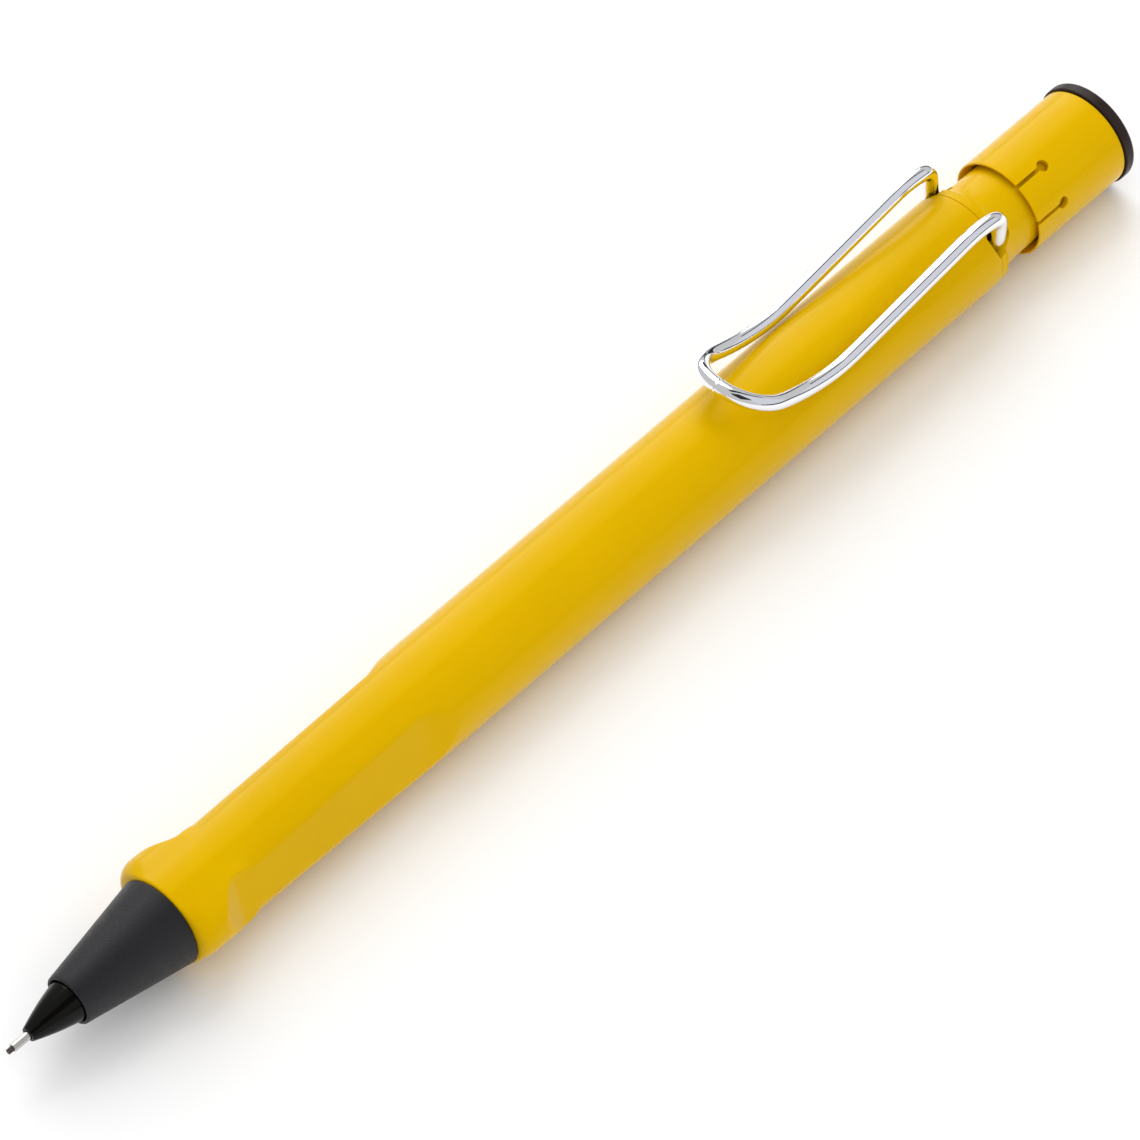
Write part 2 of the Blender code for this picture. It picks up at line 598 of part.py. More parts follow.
def build_collet(parent, material):
    head_rear = COLLET_FRONT + COLLET_HEAD_LENGTH
    outside = [(COLLET_FRONT, COLLET_HEAD_RADIUS - 0.1), (COLLET_FRONT + 0.3, COLLET_HEAD_RADIUS),
               (COLLET_FRONT + 1.0, COLLET_HEAD_RADIUS), (head_rear, COLLET_STEM_RADIUS),
               (COLLET_REAR, COLLET_STEM_RADIUS)]
    bore = [(COLLET_FRONT, LEAD_CHANNEL), (COLLET_REAR, LEAD_CHANNEL)]
    collet = turned("collet", outside, bore, material, parent, sides=12)
    star = []
    for arm in range(3):
        angle = math.tau * arm / 3
        outward = Vector((0, math.sin(angle), math.cos(angle)))
        across = Vector((0, math.cos(angle), -math.sin(angle)))
        inner = COLLET_SLIT / 2 / math.tan(math.pi / 3)
        star += [outward * inner - across * COLLET_SLIT / 2,
                 outward * (COLLET_HEAD_RADIUS + 0.5) - across * COLLET_SLIT / 2,
                 outward * (COLLET_HEAD_RADIUS + 0.5) + across * COLLET_SLIT / 2]
    bm = bmesh.new()
    front = Vector((COLLET_FRONT - 0.5, 0, 0))
    rear = Vector((COLLET_FRONT + COLLET_SLIT_LENGTH, 0, 0))
    prism(bm, [front + p for p in star], [rear + p for p in star])
    cut(collet, finished("slit_cutter", bm, None, parent))
    return collet


def build_spring(parent, material):
    """A compression spring between the housing's inner shoulder and the connector's flange."""
    steps = 10
    room = SPRING_ROOM - 2 * SEAT_GAP - 2 * SPRING_WIRE_RADIUS
    first = SHOULDER_REAR + SEAT_GAP + SPRING_WIRE_RADIUS
    path = []
    for i in range(SPRING_TURNS * steps + 1):
        turn = math.tau * i / steps
        station = first + room * i / (SPRING_TURNS * steps)
        path.append(Vector((station, SPRING_RADIUS * math.sin(turn), SPRING_RADIUS * math.cos(turn))))
    bm = bmesh.new()
    sweep(bm, path, [SPRING_WIRE_RADIUS] * len(path), 5)
    return finished("chuck_spring", bm, material, parent)


def build_pusher(parent, materials):
    """The lead tube, the connector at its front and the spare leads that it carries."""
    front = FLANGE_FRONT - CONNECTOR_FRONT
    front_radius = SPRING_RADIUS - SPRING_WIRE_RADIUS - 0.05
    plug = TUBE_BORE - SEAT_GAP
    outside = [(front, front_radius), (FLANGE_FRONT, front_radius), (FLANGE_FRONT, FLANGE_RADIUS),
               (FLANGE_REAR, FLANGE_RADIUS), (FLANGE_REAR, plug), (CONNECTOR_REAR_END, plug)]
    socket = COLLET_STEM_RADIUS + SEAT_GAP
    socket_end = COLLET_REAR + SLIDE_GAP
    bore = [(front, socket), (socket_end, socket), (socket_end, LEAD_CHANNEL),
            (CONNECTOR_REAR_END, LEAD_CHANNEL)]
    turned("collet_connector", outside, bore, materials["brass"], parent, sides=12)
    turned("lead_tube", [(TUBE_FRONT, TUBE_RADIUS), (TUBE_REAR, TUBE_RADIUS)],
           [(TUBE_FRONT, TUBE_BORE), (TUBE_REAR, TUBE_BORE)], materials["grey"], parent, sides=16)
    offset = (LEAD_CHANNEL + TUBE_BORE) / 2
    for i in range(3):
        angle = math.tau * i / 3
        start = CONNECTOR_REAR_END + 1
        spare = turned("spare_lead_%d" % (i + 1), [(start, LEAD_RADIUS), (start + LEAD_LENGTH, LEAD_RADIUS)],
                       [], materials["graphite"], parent, sides=8)
        spare.location.y = offset * math.sin(angle) * MM
        spare.location.z = offset * math.cos(angle) * MM


def build_eraser(parent, materials):
    flange_front = TUBE_REAR + SLIDE_GAP
    flange_rear = flange_front + 0.4
    front = flange_rear - FERRULE_LENGTH
    floor = front + FERRULE_FLOOR
    flange = TUBE_RADIUS
    outside = [(front, FERRULE_RADIUS), (flange_front, FERRULE_RADIUS), (flange_front, flange),
               (flange_rear, flange)]
    needle_bore = NEEDLE_RADIUS + 0.03
    cup = ERASER_RADIUS + SEAT_GAP
    bore = [(front, needle_bore), (floor, needle_bore), (floor, cup), (flange_rear, cup)]
    turned("eraser_ferrule", outside, bore, materials["steel"], parent, sides=16)
    seat = floor + SLIDE_GAP
    turned("eraser", [(seat, ERASER_RADIUS), (seat + ERASER_LENGTH - 0.2, ERASER_RADIUS),
                      (seat + ERASER_LENGTH, ERASER_RADIUS - 0.2)], [], materials["eraser"], parent, sides=16)
    turned("cleaning_needle", [(floor - NEEDLE_LENGTH, NEEDLE_RADIUS), (floor, NEEDLE_RADIUS)], [],
           materials["steel"], parent, sides=8)


def build_pencil():
    materials = {
        "yellow": plastic("yellow_gloss_plastic", (0.76, 0.51, 0.005), 0.18),
        "disc": plastic("dark_gloss_plastic", (0.035, 0.026, 0.022), 0.3),
        "cone": plastic("black_satin_plastic", (0.018, 0.017, 0.019), 0.5),
        "nozzle": plastic("black_gloss_plastic", (0.01, 0.01, 0.009), 0.15),
        "chrome": plastic("chromed_wire", (0.75, 0.75, 0.76), 0.06, 1.0),
        "steel": plastic("stainless_steel", (0.55, 0.54, 0.52), 0.25, 1.0),
        "brass": plastic("turned_brass", (0.66, 0.48, 0.2), 0.3, 1.0),
        "grey": plastic("grey_tube_plastic", (0.3, 0.3, 0.31), 0.4),
        "rubber": plastic("black_rubber", (0.02, 0.02, 0.02), 0.8),
        "graphite": plastic("pencil_lead", (0.06, 0.06, 0.065), 0.4),
        "eraser": plastic("white_eraser", (0.8, 0.8, 0.78), 0.7),
    }
    axis = axis_frame("pencil_axis", station=0.0)
    hinge_station = BARREL_REAR + CLIP_DROP
    hinge_height = NECK_RADIUS * math.cos(math.radians(CLIP_LEG_ANGLE)) - CLIP_ROOT_DEPTH
    clip_axis = axis_frame("clip_flex_axis", hinge_station, hinge_height, axis)
    button_axis = axis_frame("button_travel_axis", parent=axis)
    tip_axis = axis_frame("nozzle_travel_axis", parent=axis)
    cone_axis = axis_frame("cone_travel_axis", parent=axis)
    lead_axis = axis_frame("lead_travel_axis", parent=button_axis)

    barrel = build_barrel(axis, materials["yellow"])
    collar = build_neck_collar(axis, materials["yellow"])
    pockets = build_pocket_cutter(axis)
    cut(barrel, pockets)
    cut(collar, pockets)
    build_clip(clip_axis, hinge_station, hinge_height, materials["chrome"])
    cut(build_push_button(button_axis, materials["yellow"]), build_slot_cutter(button_axis))
    build_button_disc(button_axis, materials["disc"])
    build_front_end(tip_axis, cone_axis, lead_axis, materials)
    build_housing(axis, materials["brass"])
    build_clutch_ring(axis, materials["brass"])
    build_collet(button_axis, materials["brass"])
    build_spring(axis, materials["steel"])
    build_pusher(button_axis, materials)
    build_eraser(button_axis, materials)


for leftover in list(bpy.data.objects):
    bpy.data.objects.remove(leftover, do_unlink=True)
build_pencil()
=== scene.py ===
"""Mechanical pencil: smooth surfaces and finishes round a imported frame, laid out as an add-on.

The pencil lies along X with its lead towards -X and its clip on top. Angles round the axis start at
the top and grow towards +Y. Everything is in metres.
"""
import math

import bpy
import numpy as np
from bpy.props import FloatProperty, FloatVectorProperty, IntProperty, PointerProperty
from mathutils import Matrix, Vector


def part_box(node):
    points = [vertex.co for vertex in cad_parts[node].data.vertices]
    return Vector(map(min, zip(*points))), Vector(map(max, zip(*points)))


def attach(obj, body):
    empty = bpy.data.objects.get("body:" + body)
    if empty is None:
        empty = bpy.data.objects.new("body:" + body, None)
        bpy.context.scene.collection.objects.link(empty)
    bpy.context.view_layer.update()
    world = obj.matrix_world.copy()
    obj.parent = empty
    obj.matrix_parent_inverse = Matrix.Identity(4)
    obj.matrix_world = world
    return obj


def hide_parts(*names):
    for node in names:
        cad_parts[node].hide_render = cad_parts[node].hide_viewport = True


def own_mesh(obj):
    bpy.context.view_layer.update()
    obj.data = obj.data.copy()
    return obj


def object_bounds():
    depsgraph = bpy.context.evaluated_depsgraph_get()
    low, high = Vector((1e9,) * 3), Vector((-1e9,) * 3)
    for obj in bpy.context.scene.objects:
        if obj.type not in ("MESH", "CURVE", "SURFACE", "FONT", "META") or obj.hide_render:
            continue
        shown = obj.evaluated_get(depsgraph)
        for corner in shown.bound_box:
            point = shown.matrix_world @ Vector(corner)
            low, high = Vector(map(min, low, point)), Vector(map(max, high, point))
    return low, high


bl_info = {
    "name": "Mechanical Pencil",
    "version": (1, 0, 0),
    "blender": (4, 5, 0),
    "location": "View3D > Sidebar > Pencil",
    "description": "Builds the smooth pieces, finishes and studio of a mechanical pencil",
    "category": "Object",
}

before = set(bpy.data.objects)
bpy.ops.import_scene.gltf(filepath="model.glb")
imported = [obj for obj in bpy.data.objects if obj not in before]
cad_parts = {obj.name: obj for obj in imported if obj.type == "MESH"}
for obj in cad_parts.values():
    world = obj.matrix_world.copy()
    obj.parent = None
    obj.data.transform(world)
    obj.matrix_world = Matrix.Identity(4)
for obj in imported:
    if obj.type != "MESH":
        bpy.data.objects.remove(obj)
CAD_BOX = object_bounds()
MM = 0.001


def span(node):
    """Front and rear of a node along the pencil, as world x."""
    low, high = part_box(node)
    return low.x, high.x


def half_height(node):
    """Outer radius of a round node."""
    low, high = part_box(node)
    return (high.z - low.z) / 2


DISC_LOW, DISC_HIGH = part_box("button_disc")
AXIS_HEIGHT = (DISC_LOW.z + DISC_HIGH.z) / 2
BARREL_FRONT, BARREL_REAR = span("barrel")


# ---------------------------------------------------------------- settings
def length(name, description, millimetres):
    return FloatProperty(name=name, description=description, default=millimetres * MM,
                         min=0.0, unit="LENGTH", subtype="DISTANCE", precision=5)


def turn(name, description, degrees):
    return FloatProperty(name=name, description=description, default=math.radians(degrees),
                         subtype="ANGLE", unit="ROTATION")


def share(name, description, value):
    return FloatProperty(name=name, description=description, default=value, subtype="FACTOR",
                         min=0.0, max=4.0)


def linear(hex_colour):
    """sRGB hex to the linear numbers that shaders take."""
    parts = [int(hex_colour[i:i + 2], 16) / 255 for i in (0, 2, 4)]
    return tuple(c / 12.92 if c <= 0.04045 else ((c + 0.055) / 1.055) ** 2.4 for c in parts)


def colour(name, description, hex_colour):
    return FloatVectorProperty(name=name, description=description, subtype="COLOR", size=3,
                               min=0.0, max=1.0, default=linear(hex_colour))


class BarrelSettings(bpy.types.PropertyGroup):
    radius: length("Radius", "Radius of the round body", 5.07)
    grip_taper: length("Grip taper", "How much thinner the grip is at its front edge", 0.53)
    grip_length: length("Grip length", "From the front edge to the end of the finger flats", 32.85)
    flat_angle: turn("Flat angle", "Where each finger flat is centred", 74.0)
    flat_depth: length("Flat depth", "How far the flats lie below the radius", 0.89)
    flat_ramp: length("Flat ramp", "Length of the rear ramp of the flats", 4.60)
    flat_front: length("Flat front", "From the front edge to the curved end of the flats", 2.20)
    flat_rise: length("Flat rise", "Length of the curved front end of the flats", 3.50)
    flat_softness: length("Flat softness", "Blending width of the flats' edges", 0.16)
    lip_height: length("Lip height", "Height of the lips above the radius", 0.70)
    lip_crest: length("Lip crest", "From the front edge to the crest of the lips", 1.70)
    lip_spread: turn("Lip spread", "Half the angle that a lip covers", 55.0)
    thread_bore: length("Thread bore", "Bore radius round the cone's spigot", 3.70)
    bore: length("Bore", "Bore radius of the body", 3.20)
    counterbore: length("Counterbore", "Bore radius round the collar's insert", 3.90)
    insert_length: length("Insert length", "Depth of the counterbore", 11.75)


class CollarSettings(bpy.types.PropertyGroup):
    radius: length("Radius", "Radius of the collar", 4.98)
    stem_radius: length("Stem radius", "Radius of the stem under the button", 4.25)
    insert_radius: length("Insert radius", "Radius of the insert in the barrel", 3.80)
    width: length("Width", "Full-width part behind the seam", 0.90)
    fillet: length("Fillet", "Length of the curve down to the stem", 3.05)
    tube_bore: length("Tube bore", "Bore radius round the lead tube", 2.00)
    hub_bore: length("Hub bore", "Bore radius round the button's hub", 3.05)
    hub_depth: length("Hub depth", "Depth of the wide rear bore", 2.60)
    seam: length("Seam", "Gap between the barrel and the collar", 0.05)


class ClipSettings(bpy.types.PropertyGroup):
    wire_radius: length("Wire radius", "Radius of the wire", 0.75)
    length: length("Length", "From the legs' drop to the tip of the foot", 33.00)
    foot_length: length("Foot length", "Length of the rounded foot, seen from above", 4.10)
    foot_power: share("Foot power", "2 gives a half ellipse, more gives a squarer foot", 2.10)
    leg_angle: turn("Leg angle", "Where the legs enter the collar", 55.2)
    gap: length("Gap", "Space between the clip's waist and the barrel", 0.16)
    waist: length("Waist", "From the foot's tip to the lowest place", 11.50)
    foot_rise: length("Foot rise", "How high the foot's tip stands above the waist", 4.02)
    leg_slope: share("Leg slope", "How steeply the legs rise to the root", 0.160)
    shoulder: length("Shoulder", "Length over which the legs curve over towards the root", 5.00)
    shoulder_fall: length("Shoulder fall", "How far the curve takes them down", 1.30)
    bend_radius: length("Bend radius", "Radius of the bend at the root", 1.20)
    drop: length("Drop", "From the barrel's rear edge to the drop of the legs", 0.38)
    splay: length("Splay", "How far the legs spread towards the root", 0.10)
    lean: length("Lean", "How far the drop leans inwards", 0.20)
    turn_in: length("Turn-in", "Height above the entry where the wire turns inwards", 0.30)
    root_depth: length("Root depth", "How far the turned-in end reaches down", 1.70)
    pocket_rear: length("Pocket rear", "How far each pocket reaches into the collar", 2.35)
    pocket_front: length("Pocket front", "How far each pocket notches the barrel", 0.75)
    pocket_low: turn("Pocket low end", "Where each pocket comes to a point", 74.5)
    pocket_high: turn("Pocket high end", "Where each pocket ends in a round", 37.0)
    pocket_floor: length("Pocket floor", "Distance of the pockets' floor from the axis", 2.30)


class ButtonSettings(bpy.types.PropertyGroup):
    radius: length("Radius", "Radius of the button", 4.97)
    wall: length("Wall", "Wall of the skirt", 0.60)
    setback: length("Setback", "How far the skirt's edge lies behind the solid's front", 0.45)
    chamfer: length("Chamfer", "Length of the chamfer inside the skirt", 0.90)
    slot_width: length("Slot width", "Width of the keyhole slots", 0.38)
    slot_hole: length("Slot hole", "Radius of the slots' round ends", 0.58)
    slot_length: length("Slot length", "From the skirt's edge to the hole's centre", 3.50)
    slot_angle: turn("Slot angle", "Where the first slot lies", -24.4)
    tongue_angle: turn("Tongue angle", "Angle between the slots of a pair", 47.6)
    disc_radius: length("Disc radius", "Radius of the end disc", 5.17)
    disc_round: length("Disc round", "Rounding of the disc's rear edge", 0.42)


class TipSettings(bpy.types.PropertyGroup):
    mouth_radius: length("Mouth radius", "Radius of the cone's mouth", 2.50)
    base_radius: length("Base radius", "Radius of the cone's base", 4.40)
    spigot_radius: length("Spigot radius", "Radius of the cone's threaded spigot", 3.60)
    shoulder: length("Shoulder", "From the mouth to the inner shoulder", 6.45)
    nozzle_radius: length("Nozzle radius", "Radius of the nozzle's shank", 2.05)
    nozzle_tip: length("Nozzle tip", "Radius of the nozzle's front end", 0.69)
    nozzle_shank: length("Nozzle shank", "Full-width part inside the cone", 2.05)
    nozzle_spigot: length("Nozzle spigot", "Radius of the nozzle's spigot", 1.62)
    nozzle_cavity: length("Nozzle cavity", "Radius of the room for the chuck", 1.20)
    sleeve_radius: length("Sleeve radius", "Radius of the guide sleeve", 0.40)
    sleeve_bore: length("Sleeve bore", "Bore radius of the guide sleeve", 0.28)
    lead_radius: length("Lead radius", "Radius of the lead", 0.25)


class StageSettings(bpy.types.PropertyGroup):
    lens: FloatProperty(name="Lens", description="Focal length", default=260.8, unit="CAMERA")
    distance: length("Distance", "From the camera to the middle of the pencil", 721.7)
    softbox: FloatProperty(name="Softbox", description="Power of the large softbox", default=4.2,
                           unit="POWER")
    overhead: FloatProperty(name="Overhead fill", description="Power of the fill overhead", default=4.0,
                            unit="POWER")
    fill: FloatProperty(name="Near fill", description="Power of the fill on the near side", default=1.7,
                        unit="POWER")
    sky: share("Sky", "Brightness of the studio's walls", 0.60)
    around: IntProperty(name="Around", description="Divisions round each turned piece",
                        default=128, min=24, max=256)


class ColourSettings(bpy.types.PropertyGroup):
    yellow: colour("Yellow", "Yellow ABS of the barrel and the button", "DAAD00")
    cone: colour("Cone", "Satin black of the cone", "1C1A1E")
    nozzle: colour("Nozzle", "Glossy black of the nozzle", "0B0A08")
    disc: colour("Disc", "Brown-black of the end disc", "2A201D")
    floor: colour("Floor", "Pale studio floor", "F7F7F7")


# ---------------------------------------------------------------- surfaces
ARC_POINTS = 7


def finished(name, points, quads, loops=()):
    """A smooth mesh object from points, quads and extra faces, turned so that its volume is positive."""
    quads = np.asarray(quads)
    a, b, c, d = (points[quads[:, i]] for i in range(4))
    volume = sum(np.einsum("ij,ij->i", a, np.cross(p, q)).sum() for p, q in ((b, c), (c, d)))
    faces = quads.tolist() + [list(loop) for loop in loops]
    if volume < 0:
        faces = [face[::-1] for face in faces]
    mesh = bpy.data.meshes.new(name)
    mesh.from_pydata(points.tolist(), [], faces)
    mesh.validate()
    mesh.shade_smooth()
    made = bpy.data.objects.new(name, mesh)
    bpy.context.scene.collection.objects.link(made)
    return made


def grid_quads(rows, columns, close_rows):
    """Quads of a grid whose columns always close on themselves and whose rows may."""
    last = rows if close_rows else rows - 1
    i, j = np.meshgrid(np.arange(last), np.arange(columns), indexing="ij")
    below = (i + 1) % rows
    right = (j + 1) % columns
    return np.stack([i * columns + j, i * columns + right, below * columns + right, below * columns + j],
                    axis=-1).reshape(-1, 4)


def with_poles(name, points, rows, around, poles):
    """A grid of circles whose two end circles close in a fan of triangles, each round its own pole."""
    points = np.concatenate([points, poles])
    first, last = len(points) - 2, len(points) - 1
    j = np.arange(around)
    after = (j + 1) % around
    base = (rows - 1) * around
    front = np.stack([after, j, np.full(around, first)], axis=-1)
    rear = np.stack([base + j, base + after, np.full(around, last)], axis=-1)
    return finished(name, points, grid_quads(rows, around, False), np.concatenate([front, rear]).tolist())


def prism(name, walls):
    """A closed prism between two outlines of equally many points."""
    count = len(walls[0])
    i = np.arange(count)
    after = (i + 1) % count
    quads = np.stack([i, after, after + count, i + count], axis=-1)
    caps = [list(range(count))[::-1], list(range(count, 2 * count))]
    return finished(name, np.concatenate(walls), quads, caps)


def round_axis(x, radius, angle):
    """Points (x, r sin a, r cos a) about the pencil's axis."""
    places = np.broadcast_arrays(x, radius * np.sin(angle), AXIS_HEIGHT + radius * np.cos(angle))
    return np.stack(places, axis=-1)


def beside(depth, across, angle):
    """y and z of a place that lies depth out from the axis along an angle, and across to its side."""
    return (depth * math.sin(angle) + across * math.cos(angle),
            AXIS_HEIGHT + depth * math.cos(angle) - across * math.sin(angle))


def unit(vector):
    return vector / max(np.linalg.norm(vector), 1e-12)


def tangent_arc(corner, back, ahead, half, reach, count):
    """The arc that touches both sides of a corner at the distance reach from it: unit directions from
    its centre, turned evenly from start to end, times its radius. half is half the corner's angle."""
    radius = reach * math.tan(half)
    centre = corner + unit(back + ahead) * radius / math.sin(half)
    start = unit(corner + back * reach - centre)
    end = unit(corner + ahead * reach - centre)
    whole = math.acos(max(-1.0, min(1.0, float(start @ end))))
    t = np.linspace(0, 1, count)[:, None]
    arc = (start * np.sin((1 - t) * whole) + end * np.sin(t * whole)) / math.sin(whole)
    return centre + arc * radius


def outline(corners, step=None):
    """A closed outline with rounded corners, from corners (x, r, rounding).

    A rounded corner is an arc tangent to its two sides, with a holding point just past each end
    that keeps the flat sides flat in shading. Sides longer than step are divided evenly.
    """
    places = np.array([c[:2] for c in corners], float)
    count = len(corners)
    points = []
    for i, (x, r, rounding) in enumerate(corners):
        corner = places[i]
        back = places[i - 1] - corner
        ahead = places[(i + 1) % count] - corner
        room = 0.45 * min(np.linalg.norm(back), np.linalg.norm(ahead))
        back, ahead = unit(back), unit(ahead)
        half = math.acos(max(-1.0, min(1.0, float(back @ ahead)))) / 2
        if rounding <= 0 or half > math.radians(88):
            points.append(corner)
            continue
        reach = min(rounding / math.tan(half), room)
        hold = min(0.4 * reach, 0.5 * (room - reach)) if room > reach else 0.0
        if hold > 0:
            points.append(corner + back * (reach + hold))
        points.extend(tangent_arc(corner, back, ahead, half, reach, ARC_POINTS))
        if hold > 0:
            points.append(corner + ahead * (reach + hold))
    points = np.array(points)
    if step:
        following = np.roll(points, -1, axis=0)
        pieces = [np.linspace(a, b, max(1, math.ceil(np.linalg.norm(b - a) / step)), endpoint=False)
                  for a, b in zip(points, following)]
        points = np.concatenate(pieces)
    return points


def turned(name, corners, around, step=None, offset=(0.0, 0.0)):
    """A turned piece: outline point (x, r) goes to (x, r sin a, r cos a) about the axis, for each angle a.

    The outline is closed, so a bored piece is one closed skin. A piece without a bore has its two
    end corners on the axis, where each of its end circles shrinks to a single pole.
    """
    profile = outline(corners, step)
    solid = corners[0][1] == 0
    angles = np.linspace(0, math.tau, around, endpoint=False)
    body = profile[1:-1] if solid else profile
    points = round_axis(body[:, :1], body[:, 1:], angles).reshape(-1, 3) + np.array([0, *offset])
    if not solid:
        return finished(name, points, grid_quads(len(body), around, True))
    poles = [(x, offset[0], offset[1] + AXIS_HEIGHT) for x in (profile[0][0], profile[-1][0])]
    return with_poles(name, points, len(body), around, poles)


def rod(front, rear, radius, front_round, rear_round):
    """The outline of a plain rod."""
    return [(front, 0, 0), (front, radius, front_round), (rear, radius, rear_round), (rear, 0, 0)]


def headings(path):
    """The unit direction of a path at each of its points."""
    direction = np.gradient(path, axis=0)
    return direction / np.linalg.norm(direction, axis=1)[:, None]


def walked(path):
    """The distance gone along a path at each of its points."""
    return np.concatenate([[0], np.cumsum(np.linalg.norm(np.diff(path, axis=0), axis=1))])


def circles(path, radii, first, across, around):
    """A tube's points: round each path point a circle spanned by two directions, cos first + sin across."""
    angles = np.linspace(0, math.tau, around, endpoint=False)[None, :, None]
    ring = first[:, None] * np.cos(angles) + across[:, None] * np.sin(angles)
    return (path[:, None] + ring * radii).reshape(-1, 3)


def along(name, path, radii, around, side):
    """A tube along a path: each path point carries a circle in the plane across the path.

    Each circle's first direction is the path's own direction turned a quarter in the XZ plane and
    squared up to it. The two legs are walked opposite ways, so side is -1 on one and 1 on the other:
    then the direction never jumps and the skin doesn't twist. Both ends are poles.
    """
    direction = headings(path)
    reference = np.stack([-direction[:, 2] * side, np.zeros(len(path)),
                          np.abs(direction[:, 0]) + 1e-3], axis=-1)
    reference -= direction * np.einsum("ij,ij->i", reference, direction)[:, None]
    reference /= np.linalg.norm(reference, axis=1)[:, None]
    points = circles(path, radii[:, None, None], reference, np.cross(direction, reference), around)
    return with_poles(name, points, len(path), around, [path[0], path[-1]])


def round_ends(distance, radius):
    """Radius along a wire: full, but rounded off like a ball over the last radius / 2 at each end."""
    edge = radius * 0.5
    inside = np.minimum(distance, distance[-1] - distance)
    t = np.clip(inside / edge, 0.02, 1)
    return radius * (0.5 + 0.5 * np.sqrt(1 - (1 - t) ** 2))


def carve(piece, cutter):
    """Takes the cutter's shape out of a piece for good, then removes the cutter."""
    modifier = piece.modifiers.new("carve", "BOOLEAN")
    modifier.operation = "DIFFERENCE"
    modifier.solver = "EXACT"
    modifier.object = cutter
    bpy.context.view_layer.update()
    cut_mesh = bpy.data.meshes.new_from_object(piece.evaluated_get(bpy.context.evaluated_depsgraph_get()))
    piece.modifiers.remove(modifier)
    old = piece.data
    piece.data = cut_mesh
    bpy.data.meshes.remove(old)
    bpy.data.objects.remove(cutter)
    piece.data.shade_smooth()


def ease_edges(piece, width):
    """A small bevel on the edges that a cut left sharp, so that they catch the light."""
    modifier = piece.modifiers.new("eased_edges", "BEVEL")
    modifier.width = width
    modifier.segments = 2
    modifier.limit_method = "ANGLE"
    modifier.angle_limit = math.radians(40)
    modifier.use_clamp_overlap = True


def smoothstep(low, high, value):
    t = np.clip((value - low) / (high - low), 0, 1)
    return t * t * (3 - 2 * t)


def settle(piece, body, node, slot):
    """Gives a finished piece its slot's material and its CAD body, and hides the CAD node that it stands
    for.
    """
    piece.data.materials.clear()
    piece.data.materials.append(finish(slot))
    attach(piece, body)
    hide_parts(node)


# ---------------------------------------------------------------- barrel
def lip_end(settings):
    """Where the lips have died away, from the front edge."""
    return settings.flat_front + 1.6 * settings.flat_rise


def grip_radius(settings, back, angle):
    """Radius of the barrel at a distance back from its front edge and an angle round it.

    A round body tapers towards the front. Two lips swell on it by a quarter-ellipse along the axis
    times a squared cosine round it. A plane at each side cuts it to a finger flat; the plane moves
    out along smooth steps at both ends, and a smooth minimum softens its edges.
    """
    s = settings
    body = s.radius - s.grip_taper * np.clip(1 - back / s.grip_length, 0, 1)
    off = np.abs(np.abs(angle) - s.flat_angle)
    front = np.clip((s.lip_crest - back) / s.lip_crest, 0, 1)
    rise = np.sqrt(1 - front * front) * (1 - smoothstep(s.flat_front + s.flat_rise, lip_end(s), back))
    spread = np.cos(np.clip(off / s.lip_spread, 0, 1) * math.pi / 2) ** 2
    body = body + (s.radius + s.lip_height - body) * rise * spread
    front_end = 1 - smoothstep(s.flat_front, s.flat_front + s.flat_rise, back)
    rear_end = smoothstep(s.grip_length - s.flat_ramp, s.grip_length, back)
    plane = (s.radius - s.flat_depth + (s.lip_height + s.flat_depth) * front_end
             + (s.flat_depth + s.flat_softness) * rear_end)
    widest = math.radians(75)
    flat = plane / np.cos(np.minimum(off, widest))
    gap = np.clip(0.5 + 0.5 * (flat - body) / s.flat_softness, 0, 1)
    return flat * (1 - gap) + body * gap - s.flat_softness * gap * (1 - gap)


def barrel_surface(settings, around):
    """The barrel: its outer skin from grip_radius, rounded over at both edges, and a stepped bore."""
    s = settings
    whole = BARREL_REAR - BARREL_FRONT
    edge = 0.22 * MM
    pockets = whole - 6 * MM
    ramp = s.grip_length - s.flat_ramp
    quarter = np.linspace(0, math.pi / 2, 7)
    grip = np.concatenate([np.linspace(edge, lip_end(s), 60), np.linspace(lip_end(s), ramp, 20)[1:],
                           np.linspace(ramp, s.grip_length, 34)[1:]])
    rest = np.linspace(s.grip_length, pockets, 24)[1:]
    last = np.linspace(pockets, whole - 0.5 * edge, 20)[1:]
    front_edge = edge * (1 - np.cos(quarter[:-1]))
    rear_edge = whole - 0.5 * edge * (1 - np.sin(quarter[1:]))
    back = np.concatenate([front_edge, grip, rest, last, rear_edge])
    drop = np.concatenate([edge * (1 - np.sin(quarter[:-1])), np.zeros(len(grip) + len(rest) + len(last)),
                           0.5 * edge * (1 - np.cos(quarter[1:]))])
    angles = np.linspace(0, math.tau, around, endpoint=False)
    signed = np.where(angles > math.pi, angles - math.tau, angles)
    outer = grip_radius(s, back[:, None], signed[None, :]) - drop[:, None]
    thread_rear = 6.4 * MM
    step_front = whole - s.insert_length
    bore = np.array([(whole, s.counterbore + 0.05 * MM), (whole - 0.1 * MM, s.counterbore),
                     (step_front + 0.1 * MM, s.counterbore), (step_front, s.counterbore - 0.1 * MM),
                     (step_front - 0.5 * MM, s.bore), (thread_rear + 0.5 * MM, s.bore),
                     (thread_rear, s.thread_bore), (0.15 * MM, s.thread_bore),
                     (0.0, s.thread_bore + 0.15 * MM)])
    radius = np.concatenate([outer, np.repeat(bore[:, 1:], around, axis=1)])
    x = np.concatenate([back, bore[:, 0]])[:, None] + BARREL_FRONT
    points = round_axis(x, radius, angles).reshape(-1, 3)
    return finished("barrel_shell", points, grid_quads(len(radius), around, True))


